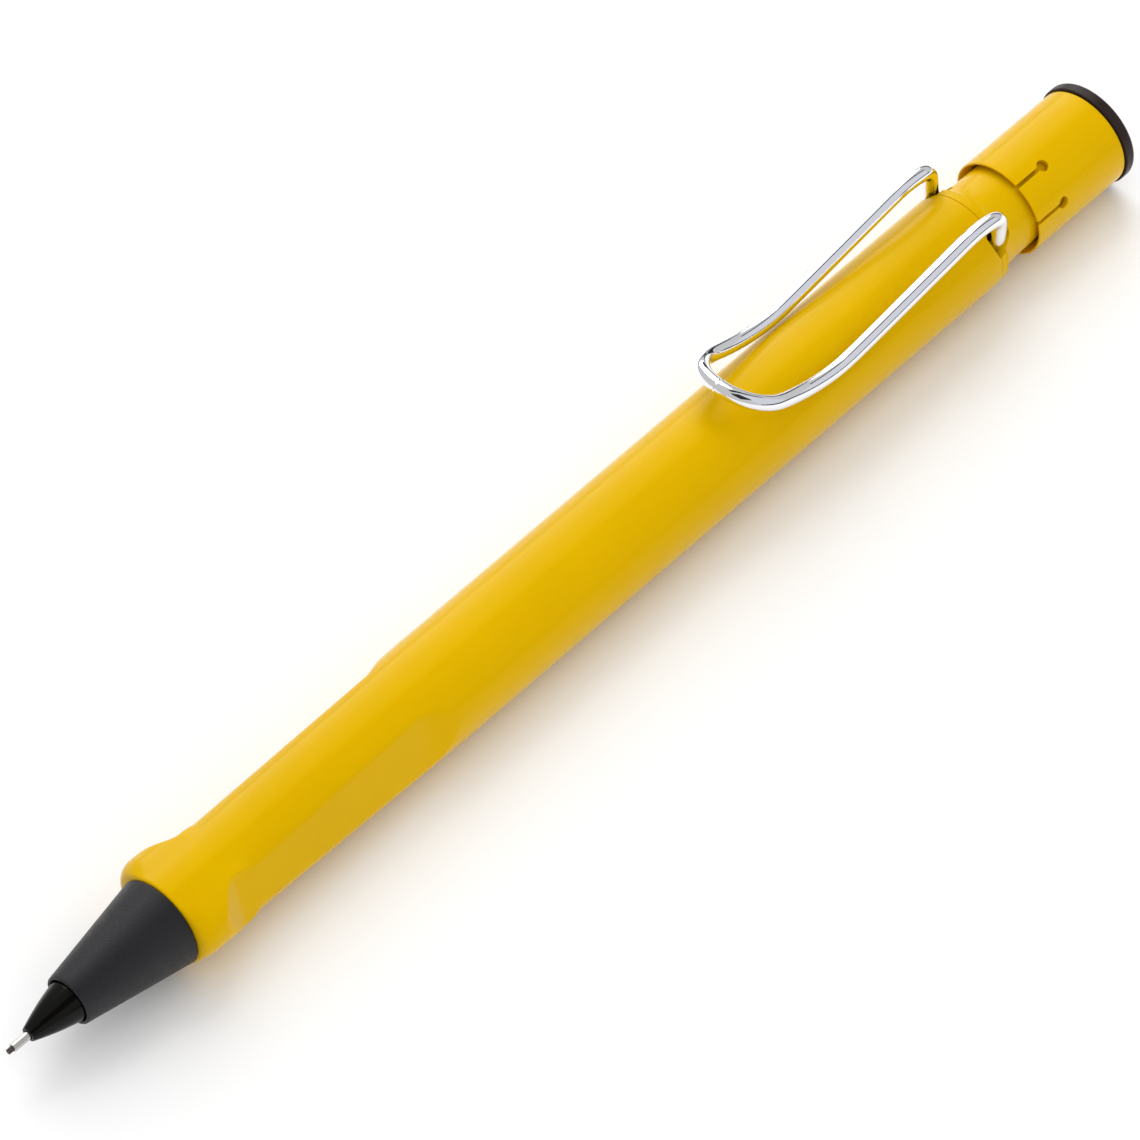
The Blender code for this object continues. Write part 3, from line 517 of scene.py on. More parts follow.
# ---------------------------------------------------------------- clip
def clip_height(settings, barrel_radius, half_width, from_foot):
    """Height of the wire over the axis: lowest at the waist, a power curve up to the foot, and a
    straight slope up to the root that starts softly as a hyperbola and ends in a parabola's fall."""
    s = settings
    reach = barrel_radius + s.gap + s.wire_radius
    waist = math.sqrt(reach * reach - half_width * half_width)
    past = from_foot - s.waist
    softness = 1.5 * MM
    foot_curve = 1.8
    foot = s.foot_rise * np.clip(-past / s.waist, 0, 1) ** foot_curve
    leg = s.leg_slope * (np.hypot(np.maximum(past, 0), softness) - softness)
    fall = s.shoulder_fall * np.clip((from_foot - s.length + s.shoulder) / s.shoulder, 0, None) ** 2
    return waist + foot + leg - fall


def bend(before, corner, after, radius, count):
    """An arc that rounds the corner of a path, tangent to both sides."""
    back, ahead = unit(before - corner), unit(after - corner)
    half = math.acos(float(back @ ahead)) / 2
    return tangent_arc(corner, back, ahead, half, radius / math.tan(half), count)


def even_path(points, step):
    """The same path with points at an even distance."""
    gone = walked(points)
    keep = np.concatenate([[True], np.diff(gone) > 1e-9])
    places = np.linspace(0, gone[-1], int(gone[-1] / step) + 1)
    return np.stack([np.interp(places, gone[keep], points[keep, k]) for k in range(3)], axis=-1)


def softened(path, reach):
    """A path smoothed by a bell-shaped moving average that reaches over that many points."""
    offsets = np.arange(-2 * reach, 2 * reach + 1)
    weights = np.exp(-(offsets / reach) ** 2)
    weights /= weights.sum()
    before = 2 * path[0] - path[2 * reach:0:-1]
    after = 2 * path[-1] - path[-2:-2 * reach - 2:-1]
    longer = np.concatenate([before, path, after])
    return np.stack([np.convolve(longer[:, k], weights, mode="valid") for k in range(3)], axis=-1)


def clip_leg(settings, barrel, collar):
    """Centre line of one leg, from the foot's tip to its end in the collar: half a superellipse seen
    from above, then a straight leg, a round bend down and a round bend inwards."""
    s = settings
    drop = BARREL_REAR + s.drop
    tip = drop - s.length
    half_width = collar.radius * math.sin(s.leg_angle)
    entry = collar.radius * math.cos(s.leg_angle)
    turn_angle = np.linspace(0, math.pi / 2, 60)
    foot_x = s.foot_length * (1 - np.cos(turn_angle) ** (2 / s.foot_power))
    foot_y = half_width * np.sin(turn_angle) ** (2 / s.foot_power)
    leg_x = np.linspace(s.foot_length, s.length - 1.2 * s.bend_radius, 110)[1:]
    from_foot = np.concatenate([foot_x, leg_x])
    spread = half_width + s.splay * (leg_x - s.foot_length) / (s.length - s.foot_length)
    side = np.concatenate([foot_y, spread])
    height = clip_height(s, barrel.radius, half_width, from_foot)
    path = np.stack([tip + from_foot, side, height], axis=-1)
    top = float(clip_height(s, barrel.radius, half_width, s.length))
    corner = np.array([drop, half_width + s.splay, top])
    turn_in = np.array([drop, half_width + s.splay - s.lean, entry + s.turn_in])
    slant, inner_bend = 0.55, 2.0 * MM
    end = turn_in - np.array([0, slant * s.root_depth, s.root_depth])
    down = bend(path[-1], corner, turn_in, s.bend_radius, 24)
    inwards = bend(corner, turn_in, end, inner_bend, 16)
    path = np.concatenate([path, down, inwards, [end]])
    path[:, 2] += AXIS_HEIGHT
    return path


def clip_surface(settings, barrel, collar, around):
    """The whole wire: one leg and its mirror image joined at the foot, evened out, softened at the
    joins and given a circle all along."""
    leg = clip_leg(settings, barrel, collar)
    other = leg[:0:-1] * np.array([1, -1, 1])
    path = softened(even_path(np.concatenate([other, leg]), 0.16 * MM), 3)
    side = np.where(np.arange(len(path)) < len(path) / 2, -1.0, 1.0)
    return along("clip_wire_bent", path, round_ends(walked(path), settings.wire_radius), around, side)


def carve_pockets(piece, settings):
    """Cuts the opening round each end of the clip: a prism along the radius. With u from 0 at the low
    point to 1 at the high end, its rear edge bulges as 1 - (1 - u) ** 4, its front edge runs off as
    the square root of u, and both close in a quarter-ellipse over the last part of u."""
    s = settings
    past_the_skin = 6.2 * MM
    seam_middle = 0.03 * MM
    u = np.linspace(0, 1, 40)
    rear = s.pocket_rear * (1 - (1 - np.minimum(u / 0.7, 1)) ** 4)
    front = -s.pocket_front * np.sqrt(u)
    closing = np.sqrt(np.maximum(1 - np.clip((u - 0.75) / 0.25, 0, 1) ** 2, 0))
    middle = (rear + front) / 2
    half = (rear - front) / 2 * closing
    x = np.concatenate([middle + half, (middle - half)[-2:0:-1]]) + BARREL_REAR + seam_middle
    turns = s.pocket_low + (s.pocket_high - s.pocket_low) * np.concatenate([u, u[-2:0:-1]])
    for side in (-1, 1):
        walls = [round_axis(x, depth, side * turns) for depth in (s.pocket_floor, past_the_skin)]
        carve(piece, prism("pocket_cutter", walls))


# ---------------------------------------------------------------- slots
def carve_keyholes(piece, settings, front):
    """Cuts two pairs of keyholes: a straight slot that ends in a round hole, pushed through the wall
    along the radius. The outline is the slot's two sides joined by an arc."""
    s = settings
    start = math.asin(s.slot_width / 2 / s.slot_hole)
    sweep = np.linspace(math.pi - start, start - math.pi, 40)
    centre = front + s.slot_length
    x = np.concatenate([[front - MM], centre + s.slot_hole * np.cos(sweep), [front - MM]])
    across = np.concatenate([[s.slot_width / 2], s.slot_hole * np.sin(sweep), [-s.slot_width / 2]])
    depths = (s.radius - s.wall - 0.4 * MM, s.radius + 0.6 * MM)
    for opposite in (0.0, math.pi):
        for tongue in (0.0, s.tongue_angle):
            angle = s.slot_angle - tongue + opposite
            walls = [np.stack([x, *beside(depth, across, angle)], axis=-1) for depth in depths]
            carve(piece, prism("keyhole_cutter", walls))


# ---------------------------------------------------------------- finishes
PLASTIC_SPECULAR = 0.13    # the white room shows only faintly in the plastics, so their colour stays deep


def add(tree, kind, settings=None, values=None, links=None):
    """Adds a shader node: settings are its own options, values its fixed inputs, links its fed ones."""
    made = tree.nodes.new(kind)
    for key, value in (settings or {}).items():
        setattr(made, key, value)
    for key, value in (values or {}).items():
        made.inputs[key].default_value = value
    for key, output in (links or {}).items():
        tree.links.new(output, made.inputs[key])
    return made


def new_finish(name, base, roughness, metallic=0.0, ior=1.5):
    """A material of one colour and roughness, and the Object coordinates that its patterns read."""
    material = bpy.data.materials.new(name)
    material.use_nodes = True
    tree = material.node_tree
    shader = tree.nodes["Principled BSDF"]
    shader.inputs["Base Color"].default_value = (*base, 1.0)
    shader.inputs["Roughness"].default_value = roughness
    shader.inputs["Metallic"].default_value = metallic
    if metallic == 0.0:
        shader.inputs["IOR"].default_value = ior
        shader.inputs["Specular IOR Level"].default_value = PLASTIC_SPECULAR
    return material, tree, shader, add(tree, "ShaderNodeTexCoord").outputs["Object"]


def per_metre(millimetres):
    """Noise scale that gives features of about that size on Object coordinates."""
    return 1.0 / (millimetres * MM)


def two_tones(tree, shader, where, base, factor, size):
    """A slow drift between the base colour and a shade darker by that factor."""
    drift = add(tree, "ShaderNodeTexNoise", values={"Scale": per_metre(size), "Detail": 3.0},
                links={"Vector": where})
    ramp = add(tree, "ShaderNodeValToRGB", links={"Fac": drift.outputs["Fac"]})
    for element, position, share_left in zip(ramp.color_ramp.elements, (0.35, 0.65), (1.0, factor)):
        element.position = position
        element.color = (*(c * share_left for c in base), 1.0)
    tree.links.new(ramp.outputs["Color"], shader.inputs["Base Color"])


def rough_between(tree, shader, where, size, low, high):
    """Roughness that wanders between two values."""
    noise = add(tree, "ShaderNodeTexNoise", values={"Scale": per_metre(size), "Detail": 2.0},
                links={"Vector": where})
    spread = add(tree, "ShaderNodeMapRange", values={"From Min": 0.3, "From Max": 0.7, "To Min": low,
                                                     "To Max": high}, links={"Value": noise.outputs["Fac"]})
    tree.links.new(spread.outputs["Result"], shader.inputs["Roughness"])


def grain_relief(tree, shader, where, size, depth, strength, detail=2.0):
    """A grain of that size, raised by that depth in millimetres."""
    noise = add(tree, "ShaderNodeTexNoise", values={"Scale": per_metre(size), "Detail": detail},
                links={"Vector": where})
    bump = add(tree, "ShaderNodeBump", values={"Strength": strength, "Distance": depth * MM},
               links={"Height": noise.outputs["Fac"]})
    tree.links.new(bump.outputs["Normal"], shader.inputs["Normal"])


def skin(name, base, roughness, drift, wander, grain, ior=1.54, detail=2.0):
    """A plastic's skin. drift is the darker shade's factor and its patches' size, wander the size and
    the two limits of the roughness, and grain the size, depth and strength of the relief."""
    material, tree, shader, where = new_finish(name, base, roughness, ior=ior)
    two_tones(tree, shader, where, base, *drift)
    rough_between(tree, shader, where, *wander)
    grain_relief(tree, shader, where, *grain, detail)
    return material, tree, shader, where


def paint_shade_inside(tree, shader, where, base, dark, full):
    """Paints shade into the colour of surfaces nearer to the pencil's axis than `full`, down to a brown at
    `dark`: painted shade that makes openings and bores read as dark."""
    # painted shade: the share of the base colour kept at `dark`, which gives a deep brown
    left = (0.10, 0.035, 0.02)
    across = add(tree, "ShaderNodeVectorMath", {"operation": "SUBTRACT"}, {1: (0.0, 0.0, AXIS_HEIGHT)},
                 {0: where})
    flat = add(tree, "ShaderNodeVectorMath", {"operation": "MULTIPLY"}, {1: (0.0, 1.0, 1.0)},
               {0: across.outputs[0]})
    reach = add(tree, "ShaderNodeVectorMath", {"operation": "LENGTH"}, links={0: flat.outputs[0]})
    lit = add(tree, "ShaderNodeMapRange", values={"From Min": dark, "From Max": full},
              links={"Value": reach.outputs["Value"]})
    outside = shader.inputs["Base Color"].links[0].from_socket
    brown = (*(c * k for c, k in zip(base, left)), 1.0)
    mix = add(tree, "ShaderNodeMixRGB", values={"Color1": brown},
              links={"Fac": lit.outputs["Result"], "Color2": outside})
    tree.links.new(mix.outputs["Color"], shader.inputs["Base Color"])


def moulded_abs(name, base):
    """Polished moulded ABS: a deep even colour under a clear gloss. The faint waviness of the mould's
    polish, about 1.2 mm across, breaks up the edges of reflections, and a slow drift of shade keeps
    long faces from looking painted. The warm tint keeps head-on reflections from greying the yellow,
    a little light goes through the skin, which softens its shadows, and painted shade darkens openings
    inwards."""
    material, tree, shader, where = skin(name, base, 0.2, (0.955, 14.0), (3.0, 0.17, 0.23),
                                         (1.2, 0.004, 0.6))
    # painted shade: the yellow turns to brown between 4.15 mm and 3.75 mm from the axis, in the pockets,
    # slots and bores
    paint_shade_inside(tree, shader, where, base, 3.75 * MM, 4.15 * MM)
    for socket, value in (("Specular Tint", (1.0, 0.75, 0.05, 1.0)), ("Subsurface Weight", 0.25),
                          ("Subsurface Radius", (1.0, 0.3, 0.05)), ("Subsurface Scale", 0.5 * MM)):
        shader.inputs[socket].default_value = value
    return material


def satin_abs(name, base):
    """Spark-eroded mould finish on black ABS: fine grain of about 0.12 mm, drawn at 0.16 mm so that it
    shows, which spreads reflections to a soft grey sheen."""
    material, tree, shader, where = skin(name, base, 0.46, (0.85, 5.0), (0.6, 0.42, 0.52),
                                         (0.16, 0.03, 0.9))
    shader.inputs["Specular IOR Level"].default_value = 0.3
    return material


def gloss_black(name, base, roughness):
    """Moulded black plastic with a polished skin: dark, with clear highlights and faint wiping marks."""
    return skin(name, base, roughness, (0.8, 4.0), (1.5, roughness * 0.85, roughness * 1.3),
                (0.9, 0.003, 0.5))[0]


def matt_finish(name, base, roughness, grain, depth):
    """A dull, slightly uneven surface: rubber, graphite or extruded plastic, by its grain in millimetres."""
    return skin(name, base, roughness, (0.85, grain * 12), (grain * 4, roughness * 0.9, roughness * 1.15),
                (grain, depth, 0.8), 1.5, 3.0)[0]


def drawn_metal(name, base, low, high, line, depth):
    """Drawn metal. Its lines run along the pencil, as the die left them, and stretch each highlight
    that way: noise stretched along X, with lines that many millimetres apart across it."""
    material, tree, shader, where = new_finish(name, base, (low + high) / 2, metallic=1.0)
    drawn = add(tree, "ShaderNodeMapping", values={"Scale": (0.04, 1.0, 1.0)},
                links={"Vector": where}).outputs["Vector"]
    rough_between(tree, shader, drawn, line * 4, low, high)
    grain_relief(tree, shader, drawn, line, depth, 0.5)
    return material


def turned_metal(name, base, low, high, pitch, depth):
    """Metal turned on a lathe: fine rings across the pencil at the tool's feed, drawn as bands along X."""
    material, tree, shader, where = new_finish(name, base, (low + high) / 2, metallic=1.0)
    rings = add(tree, "ShaderNodeTexWave", {"wave_type": "BANDS", "bands_direction": "X"},
                {"Scale": per_metre(pitch) / math.tau, "Distortion": 0.4, "Detail": 1.0},
                {"Vector": where})
    rough_between(tree, shader, where, 0.8, low, high)
    two_tones(tree, shader, where, base, 0.86, 6.0)
    bump = add(tree, "ShaderNodeBump", values={"Strength": 0.6, "Distance": depth * MM},
               links={"Height": rings.outputs["Fac"]})
    tree.links.new(bump.outputs["Normal"], shader.inputs["Normal"])
    return material


# Each slot's maker, material name, base colour (a colour setting or sRGB hex) and the maker's numbers.
YELLOW = (moulded_abs, "moulded_yellow_abs", "yellow")
FINISHES = {
    "barrel_yellow": YELLOW,
    "button_yellow": YELLOW,
    "cone_black": (satin_abs, "satin_black_abs", "cone"),
    "nozzle_black": (gloss_black, "polished_black_acetal", "nozzle", 0.16),
    "disc_black": (gloss_black, "moulded_brown_black_abs", "disc", 0.34),
    # Nickel-chrome on drawn wire: a mirror with a trace of the drawing lines under the plating.
    "clip_chrome": (drawn_metal, "bright_chrome_plate", "F1F2F5", 0.03, 0.06, 0.25, 0.0006),
    # Fine drawn tube: one soft bright streak along it.
    "sleeve_steel": (drawn_metal, "drawn_stainless_steel", "C9C5BE", 0.16, 0.28, 0.10, 0.002),
    # Hard drawn wire: a sharp glint on each coil.
    "spring_steel": (drawn_metal, "bright_spring_steel", "C4C4C6", 0.14, 0.24, 0.10, 0.001),
    # Warm metal whose turning rings break a highlight into threads.
    "brass": (turned_metal, "turned_brass", "C9A45A", 0.18, 0.3, 0.12, 0.0015),
    # Extruded tube: a dull grey with a soft wide shine.
    "tube_grey": (matt_finish, "extruded_grey_plastic", "8E8E92", 0.4, 0.5, 0.003),
    # Moulded rubber: near-black with hardly any shine.
    "retainer_rubber": (matt_finish, "moulded_black_rubber", "1B1B1B", 0.75, 0.1, 0.006),
    # Fired graphite: dark grey with a slight metallic-looking shine.
    "graphite": (matt_finish, "polymer_graphite_lead", "4C4642", 0.38, 0.06, 0.003),
    # Soft vinyl: chalky white.
    "eraser_white": (matt_finish, "white_vinyl_eraser", "EFEEE9", 0.7, 0.12, 0.008),
}


def finish(slot):
    """The slot's material, which is made once and shared by the pieces that have it."""
    make, name, base, *numbers = FINISHES[slot]
    chosen = getattr(bpy.context.scene.pencil_colours, base, None)
    base = linear(base) if chosen is None else tuple(chosen)
    return bpy.data.materials.get(name) or make(name, base, *numbers)


# ---------------------------------------------------------------- operators
class PENCIL_OT_barrel(bpy.types.Operator):
    """Build the yellow barrel with its finger flats, lips and clip notches"""
    bl_idname = "pencil.barrel"
    bl_label = "Barrel"

    def execute(self, context):
        scene = context.scene
        barrel = barrel_surface(scene.pencil_barrel, 192)
        carve_pockets(barrel, scene.pencil_clip)
        ease_edges(barrel, 0.04 * MM)
        settle(barrel, "barrel", "barrel", "barrel_yellow")
        return {"FINISHED"}


class PENCIL_OT_collar(bpy.types.Operator):
    """Build the neck collar with the pockets that hold the clip"""
    bl_idname = "pencil.collar"
    bl_label = "Neck collar"

    def execute(self, context):
        scene = context.scene
        s = scene.pencil_collar
        front, rear = span("neck_collar")
        seat = BARREL_REAR + s.seam
        fillet = BARREL_REAR + s.width
        turns = np.linspace(0, math.pi / 2, 24)[1:-1]
        drop = s.radius - s.stem_radius
        curve = [(fillet + s.fillet * (1 - math.cos(a)), s.radius - drop * math.sin(a), 0) for a in turns]
        corners = [(front, s.insert_radius, 0.15 * MM), (seat, s.insert_radius, 0.05 * MM),
                   (seat, s.radius, 0.14 * MM), (fillet, s.radius, 0)]
        corners += curve + [(fillet + s.fillet, s.stem_radius, 0.1 * MM), (rear, s.stem_radius, 0.2 * MM),
                            (rear, s.hub_bore, 0.1 * MM), (rear - s.hub_depth, s.hub_bore, 0.05 * MM),
                            (rear - s.hub_depth, s.tube_bore, 0.05 * MM), (front, s.tube_bore, 0.1 * MM)]
        collar = turned("neck_collar_shell", corners, 160, 0.4 * MM)
        carve_pockets(collar, scene.pencil_clip)
        ease_edges(collar, 0.05 * MM)
        settle(collar, "barrel", "neck_collar", "button_yellow")
        return {"FINISHED"}


class PENCIL_OT_clip(bpy.types.Operator):
    """Bend the chromed wire clip"""
    bl_idname = "pencil.clip"
    bl_label = "Clip"

    def execute(self, context):
        scene = context.scene
        clip = clip_surface(scene.pencil_clip, scene.pencil_barrel, scene.pencil_collar, 40)
        settle(clip, "clip", "clip_wire", "clip_chrome")
        return {"FINISHED"}


class PENCIL_OT_button(bpy.types.Operator):
    """Build the push button with its keyhole slots, and the end disc"""
    bl_idname = "pencil.button"
    bl_label = "Push button"

    def execute(self, context):
        s = context.scene.pencil_button
        front, rear = span("push_button")
        front += s.setback
        skirt = s.radius - s.wall
        roof = rear - 1.55 * MM
        hub_front = roof - 6.40 * MM
        web = roof - 3.70 * MM
        hub, bore, spigot = 2.90 * MM, 2.00 * MM, 1.55 * MM
        inner_edge = s.radius - 0.17 * MM
        corners = [(front, s.radius, 0.14 * MM), (rear, s.radius, 0.16 * MM), (rear, spigot, 0.05 * MM),
                   (roof, spigot, 0.05 * MM), (roof, bore, 0.1 * MM), (hub_front, bore, 0.1 * MM),
                   (hub_front, hub, 0.15 * MM), (web, hub, 0.2 * MM), (web, skirt, 0.2 * MM),
                   (front + s.chamfer, skirt, 0.3 * MM), (front, inner_edge, 0.04 * MM)]
        button = turned("push_button_shell", corners, 176, 0.35 * MM)
        carve_keyholes(button, s, front)
        ease_edges(button, 0.05 * MM)
        settle(button, "button", "push_button", "button_yellow")
        disc_front, disc_rear = span("button_disc")
        seat = rear + 0.05 * MM
        plug = 1.5 * MM
        corners = [(disc_front, 0, 0), (disc_front, plug, 0.15 * MM), (seat, plug, 0.05 * MM),
                   (seat, s.disc_radius, 0.12 * MM), (disc_rear, s.disc_radius, s.disc_round),
                   (disc_rear, 0, 0)]
        disc = turned("end_disc", corners, 176, 0.5 * MM)
        settle(disc, "button", "button_disc", "disc_black")
        return {"FINISHED"}


class PENCIL_OT_tip(bpy.types.Operator):
    """Build the cone, the nozzle, the guide sleeve, the rubber retainer and the lead"""
    bl_idname = "pencil.tip"
    bl_label = "Tip"

    def execute(self, context):
        scene = context.scene
        s = scene.pencil_tip
        around = scene.pencil_stage.around
        front, rear = span("front_cone")
        seat = BARREL_FRONT - 0.05 * MM
        shoulder = front + s.shoulder
        bore, wide_bore = s.nozzle_radius + 0.1 * MM, 2.85 * MM
        corners = [(front, s.mouth_radius - 0.04 * MM, 0.26 * MM), (seat, s.base_radius, 0.1 * MM),
                   (seat, s.spigot_radius, 0.05 * MM), (rear, s.spigot_radius, 0.25 * MM),
                   (rear, wide_bore, 0.1 * MM), (shoulder, wide_bore, 0.05 * MM),
                   (shoulder, bore, 0.05 * MM), (front, bore, 0.15 * MM)]
        settle(turned("front_cone_shell", corners, around, 0.6 * MM), "front_cone", "front_cone",
               "cone_black")

        nose, back = span("nozzle")
        mouth = front - 0.05 * MM
        t = np.linspace(0, 1, 24)
        belly = 0.10 * MM
        swell = s.nozzle_tip + (s.nozzle_radius - s.nozzle_tip) * t + belly * np.sin(math.pi * t)
        ogive = [(nose + (mouth - nose) * k, r, 0) for k, r in zip(t[1:-1], swell[1:-1])]
        step = front + s.nozzle_shank
        hold = s.sleeve_radius + 0.05 * MM
        sleeve_front, sleeve_rear = span("lead_sleeve")
        cavity_front = sleeve_rear + 0.1 * MM
        corners = [(nose, hold, 0.02 * MM), (nose, s.nozzle_tip, 0.09 * MM)] + ogive
        corners += [(mouth, s.nozzle_radius, 0), (step, s.nozzle_radius, 0.1 * MM),
                    (step, s.nozzle_spigot, 0.05 * MM), (back, s.nozzle_spigot, 0.15 * MM),
                    (back, s.nozzle_cavity, 0.1 * MM), (cavity_front, s.nozzle_cavity, 0.1 * MM),
                    (cavity_front, hold, 0.03 * MM)]
        settle(turned("nozzle_shell", corners, around, 0.5 * MM), "tip", "nozzle", "nozzle_black")

        corners = [(sleeve_front, s.sleeve_radius, 0.05 * MM), (sleeve_rear, s.sleeve_radius, 0.03 * MM),
                   (sleeve_rear, s.sleeve_bore, 0.02 * MM), (sleeve_front, s.sleeve_bore, 0.03 * MM)]
        settle(turned("guide_sleeve", corners, 64, 0.5 * MM), "tip", "lead_sleeve", "sleeve_steel")

        front, rear = span("lead_retainer")
        outer = half_height("lead_retainer")
        lead_hole = 0.30 * MM
        corners = [(front, outer, 0.15 * MM), (rear, outer, 0.15 * MM), (rear, lead_hole, 0.08 * MM),
                   (front, lead_hole, 0.08 * MM)]
        settle(turned("rubber_retainer", corners, 64), "tip", "lead_retainer", "retainer_rubber")

        front, rear = span("lead")
        corners = rod(front, rear, s.lead_radius, 0.05 * MM, 0.03 * MM)
        settle(turned("lead_rod", corners, 40, 2 * MM), "lead", "lead", "graphite")
        return {"FINISHED"}


class PENCIL_OT_mechanism(bpy.types.Operator):
    """Build the chuck, its spring and housing, the lead tube and the spare leads"""
    bl_idname = "pencil.mechanism"
    bl_label = "Mechanism"

    def execute(self, context):
        around = 96
        front, rear = span("mechanism_housing")
        ring_front, ring_rear = span("clutch_ring")
        shoulder = ring_rear + 0.05 * MM
        seat = shoulder + 0.8 * MM
        step = 4.5 * MM + front
        neck, outer, room, rod_hole = 2.05 * MM, 2.75 * MM, 1.72 * MM, 0.95 * MM
        corners = [(front, neck, 0.15 * MM), (step, neck, 0.05 * MM), (step, outer, 0.2 * MM),
                   (rear, outer, 0.2 * MM), (rear, neck, 0.1 * MM), (seat, neck, 0.05 * MM),
                   (seat, rod_hole, 0.05 * MM), (shoulder, rod_hole, 0.05 * MM),
                   (shoulder, room, 0.05 * MM), (front, room, 0.1 * MM)]
        settle(turned("chuck_housing", corners, around, 2 * MM), "barrel", "mechanism_housing", "brass")
        corners = [(ring_front, 1.57 * MM, 0.1 * MM), (ring_rear, 1.57 * MM, 0.1 * MM),
                   (ring_rear, 0.98 * MM, 0.04 * MM), (ring_front, 1.13 * MM, 0.06 * MM)]
        settle(turned("closing_ring", corners, around), "clutch", "clutch_ring", "brass")
        self.chuck()
        self.pusher()
        self.spring(seat)
        return {"FINISHED"}

    def chuck(self):
        """A turned brass sleeve with a swollen head, slit along three radii into jaws."""
        front, rear = span("collet")
        head, stem, lead_hole = 1.05 * MM, 0.85 * MM, 0.30 * MM
        corners = [(front, head, 0.12 * MM), (front + 1.0 * MM, head, 0.3 * MM),
                   (front + 3.0 * MM, stem, 0.3 * MM), (rear, stem, 0.06 * MM),
                   (rear, lead_hole, 0.03 * MM), (front, lead_hole, 0.05 * MM)]
        chuck = turned("three_jaw_chuck", corners, 96, 0.5 * MM)
        width = 0.22 * MM
        box = [(0, 1, 3, 2), (4, 6, 7, 5), (0, 4, 5, 1), (2, 3, 7, 6), (0, 2, 6, 4), (1, 5, 7, 3)]
        x, depth, across = np.meshgrid([front - MM, front + 6.0 * MM], [0.05 * MM, 1.6 * MM],
                                       [-width / 2, width / 2], indexing="ij")
        for arm in range(3):
            points = np.stack([x, *beside(depth, across, math.tau * arm / 3)], axis=-1).reshape(-1, 3)
            carve(chuck, finished("slit_cutter", points, box))
        settle(chuck, "pusher", "collet", "brass")

    def pusher(self):
        """The push rod: the chuck's flanged connector, the lead store behind it and the spare leads."""
        front, rear = span("collet_connector")
        tube_front, tube_rear = span("lead_tube")
        flange_rear = tube_front - 0.1 * MM
        flange = flange_rear - 0.95 * MM
        socket_end = span("collet")[1] + 0.1 * MM
        neck, rim, plug, lead_hole, socket = 1.10 * MM, 1.65 * MM, 1.44 * MM, 0.30 * MM, 0.90 * MM
        corners = [(front, neck, 0.1 * MM), (flange, neck, 0.04 * MM), (flange, rim, 0.1 * MM),
                   (flange_rear, rim, 0.1 * MM), (flange_rear, plug, 0.04 * MM), (rear, plug, 0.15 * MM),
                   (rear, lead_hole, 0.2 * MM), (socket_end, lead_hole, 0.05 * MM),
                   (socket_end, socket, 0.05 * MM), (front, socket, 0.05 * MM)]
        settle(turned("chuck_connector", corners, 80, MM), "pusher", "collet_connector", "brass")
        corners = [(tube_front, 1.90 * MM, 0.08 * MM), (tube_rear, 1.90 * MM, 0.08 * MM),
                   (tube_rear, 1.50 * MM, 0.08 * MM), (tube_front, 1.50 * MM, 0.08 * MM)]
        settle(turned("lead_store_tube", corners, 80, 4 * MM), "pusher", "lead_tube", "tube_grey")
        for number in (1, 2, 3):
            node = "spare_lead_%d" % number
            low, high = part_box(node)
            middle = ((low.y + high.y) / 2, (low.z + high.z) / 2 - AXIS_HEIGHT)
            corners = rod(low.x, high.x, 0.25 * MM, 0.04 * MM, 0.04 * MM)
            lead = turned("spare_lead_rod_%d" % number, corners, 32, 4 * MM, offset=middle)
            settle(lead, "pusher", node, "graphite")

    def spring(self, seat):
        """A helix: radius and pitch constant, with its last coils drawn together at each end."""
        front, rear = span("chuck_spring")
        wire, coil_radius = 0.15 * MM, 1.30 * MM
        turns, sides = 9, 12
        t = np.linspace(0, 1, turns * 40 + 1)
        closed = 0.08
        run = np.clip((t - closed) / (1 - 2 * closed), 0, 1)
        flat = 2.2 * wire * (np.minimum(t, closed) / closed + np.clip((t - 1 + closed) / closed, 0, 1))
        length = rear - front - 2 * wire
        x = front + wire + flat + (length - 4.4 * wire) * run
        sine, cosine = np.sin(math.tau * turns * t), np.cos(math.tau * turns * t)
        path = np.stack([x, coil_radius * sine, AXIS_HEIGHT + coil_radius * cosine], axis=-1)
        outward = np.stack([np.zeros(len(t)), sine, cosine], axis=-1)
        points = circles(path, wire, outward, np.cross(headings(path), outward), sides)
        last = (len(path) - 1) * sides
        caps = [list(range(sides))[::-1], list(range(last, last + sides))]
        coil = finished("return_spring", points, grid_quads(len(path), sides, False), caps)
        settle(coil, "barrel", "chuck_spring", "spring_steel")
        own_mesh(coil)


class PENCIL_OT_eraser(bpy.types.Operator):
    """Build the eraser, its ferrule and the cleaning needle"""
    bl_idname = "pencil.eraser"
    bl_label = "Eraser"

    def execute(self, context):
        front, rear = span("eraser_ferrule")
        flange = rear - 0.4 * MM
        floor = front + 0.8 * MM
        cup, rim, room, needle_hole = 1.40 * MM, 1.90 * MM, 1.20 * MM, 0.23 * MM
        corners = [(front, cup, 0.1 * MM), (flange, cup, 0.04 * MM), (flange, rim, 0.08 * MM),
                   (rear, rim, 0.12 * MM), (rear, room, 0.08 * MM), (floor, room, 0.05 * MM),
                   (floor, needle_hole, 0.03 * MM), (front, needle_hole, 0.03 * MM)]
        settle(turned("eraser_cup", corners, 80, MM), "eraser", "eraser_ferrule", "sleeve_steel")
        corners = rod(*span("eraser"), 1.15 * MM, 0.1 * MM, 0.22 * MM)
        settle(turned("eraser_stick", corners, 80, MM), "eraser", "eraser", "eraser_white")
        corners = rod(*span("cleaning_needle"), 0.20 * MM, 0.1 * MM, 0.03 * MM)
        settle(turned("needle", corners, 32, MM), "eraser", "cleaning_needle", "sleeve_steel")
        return {"FINISHED"}


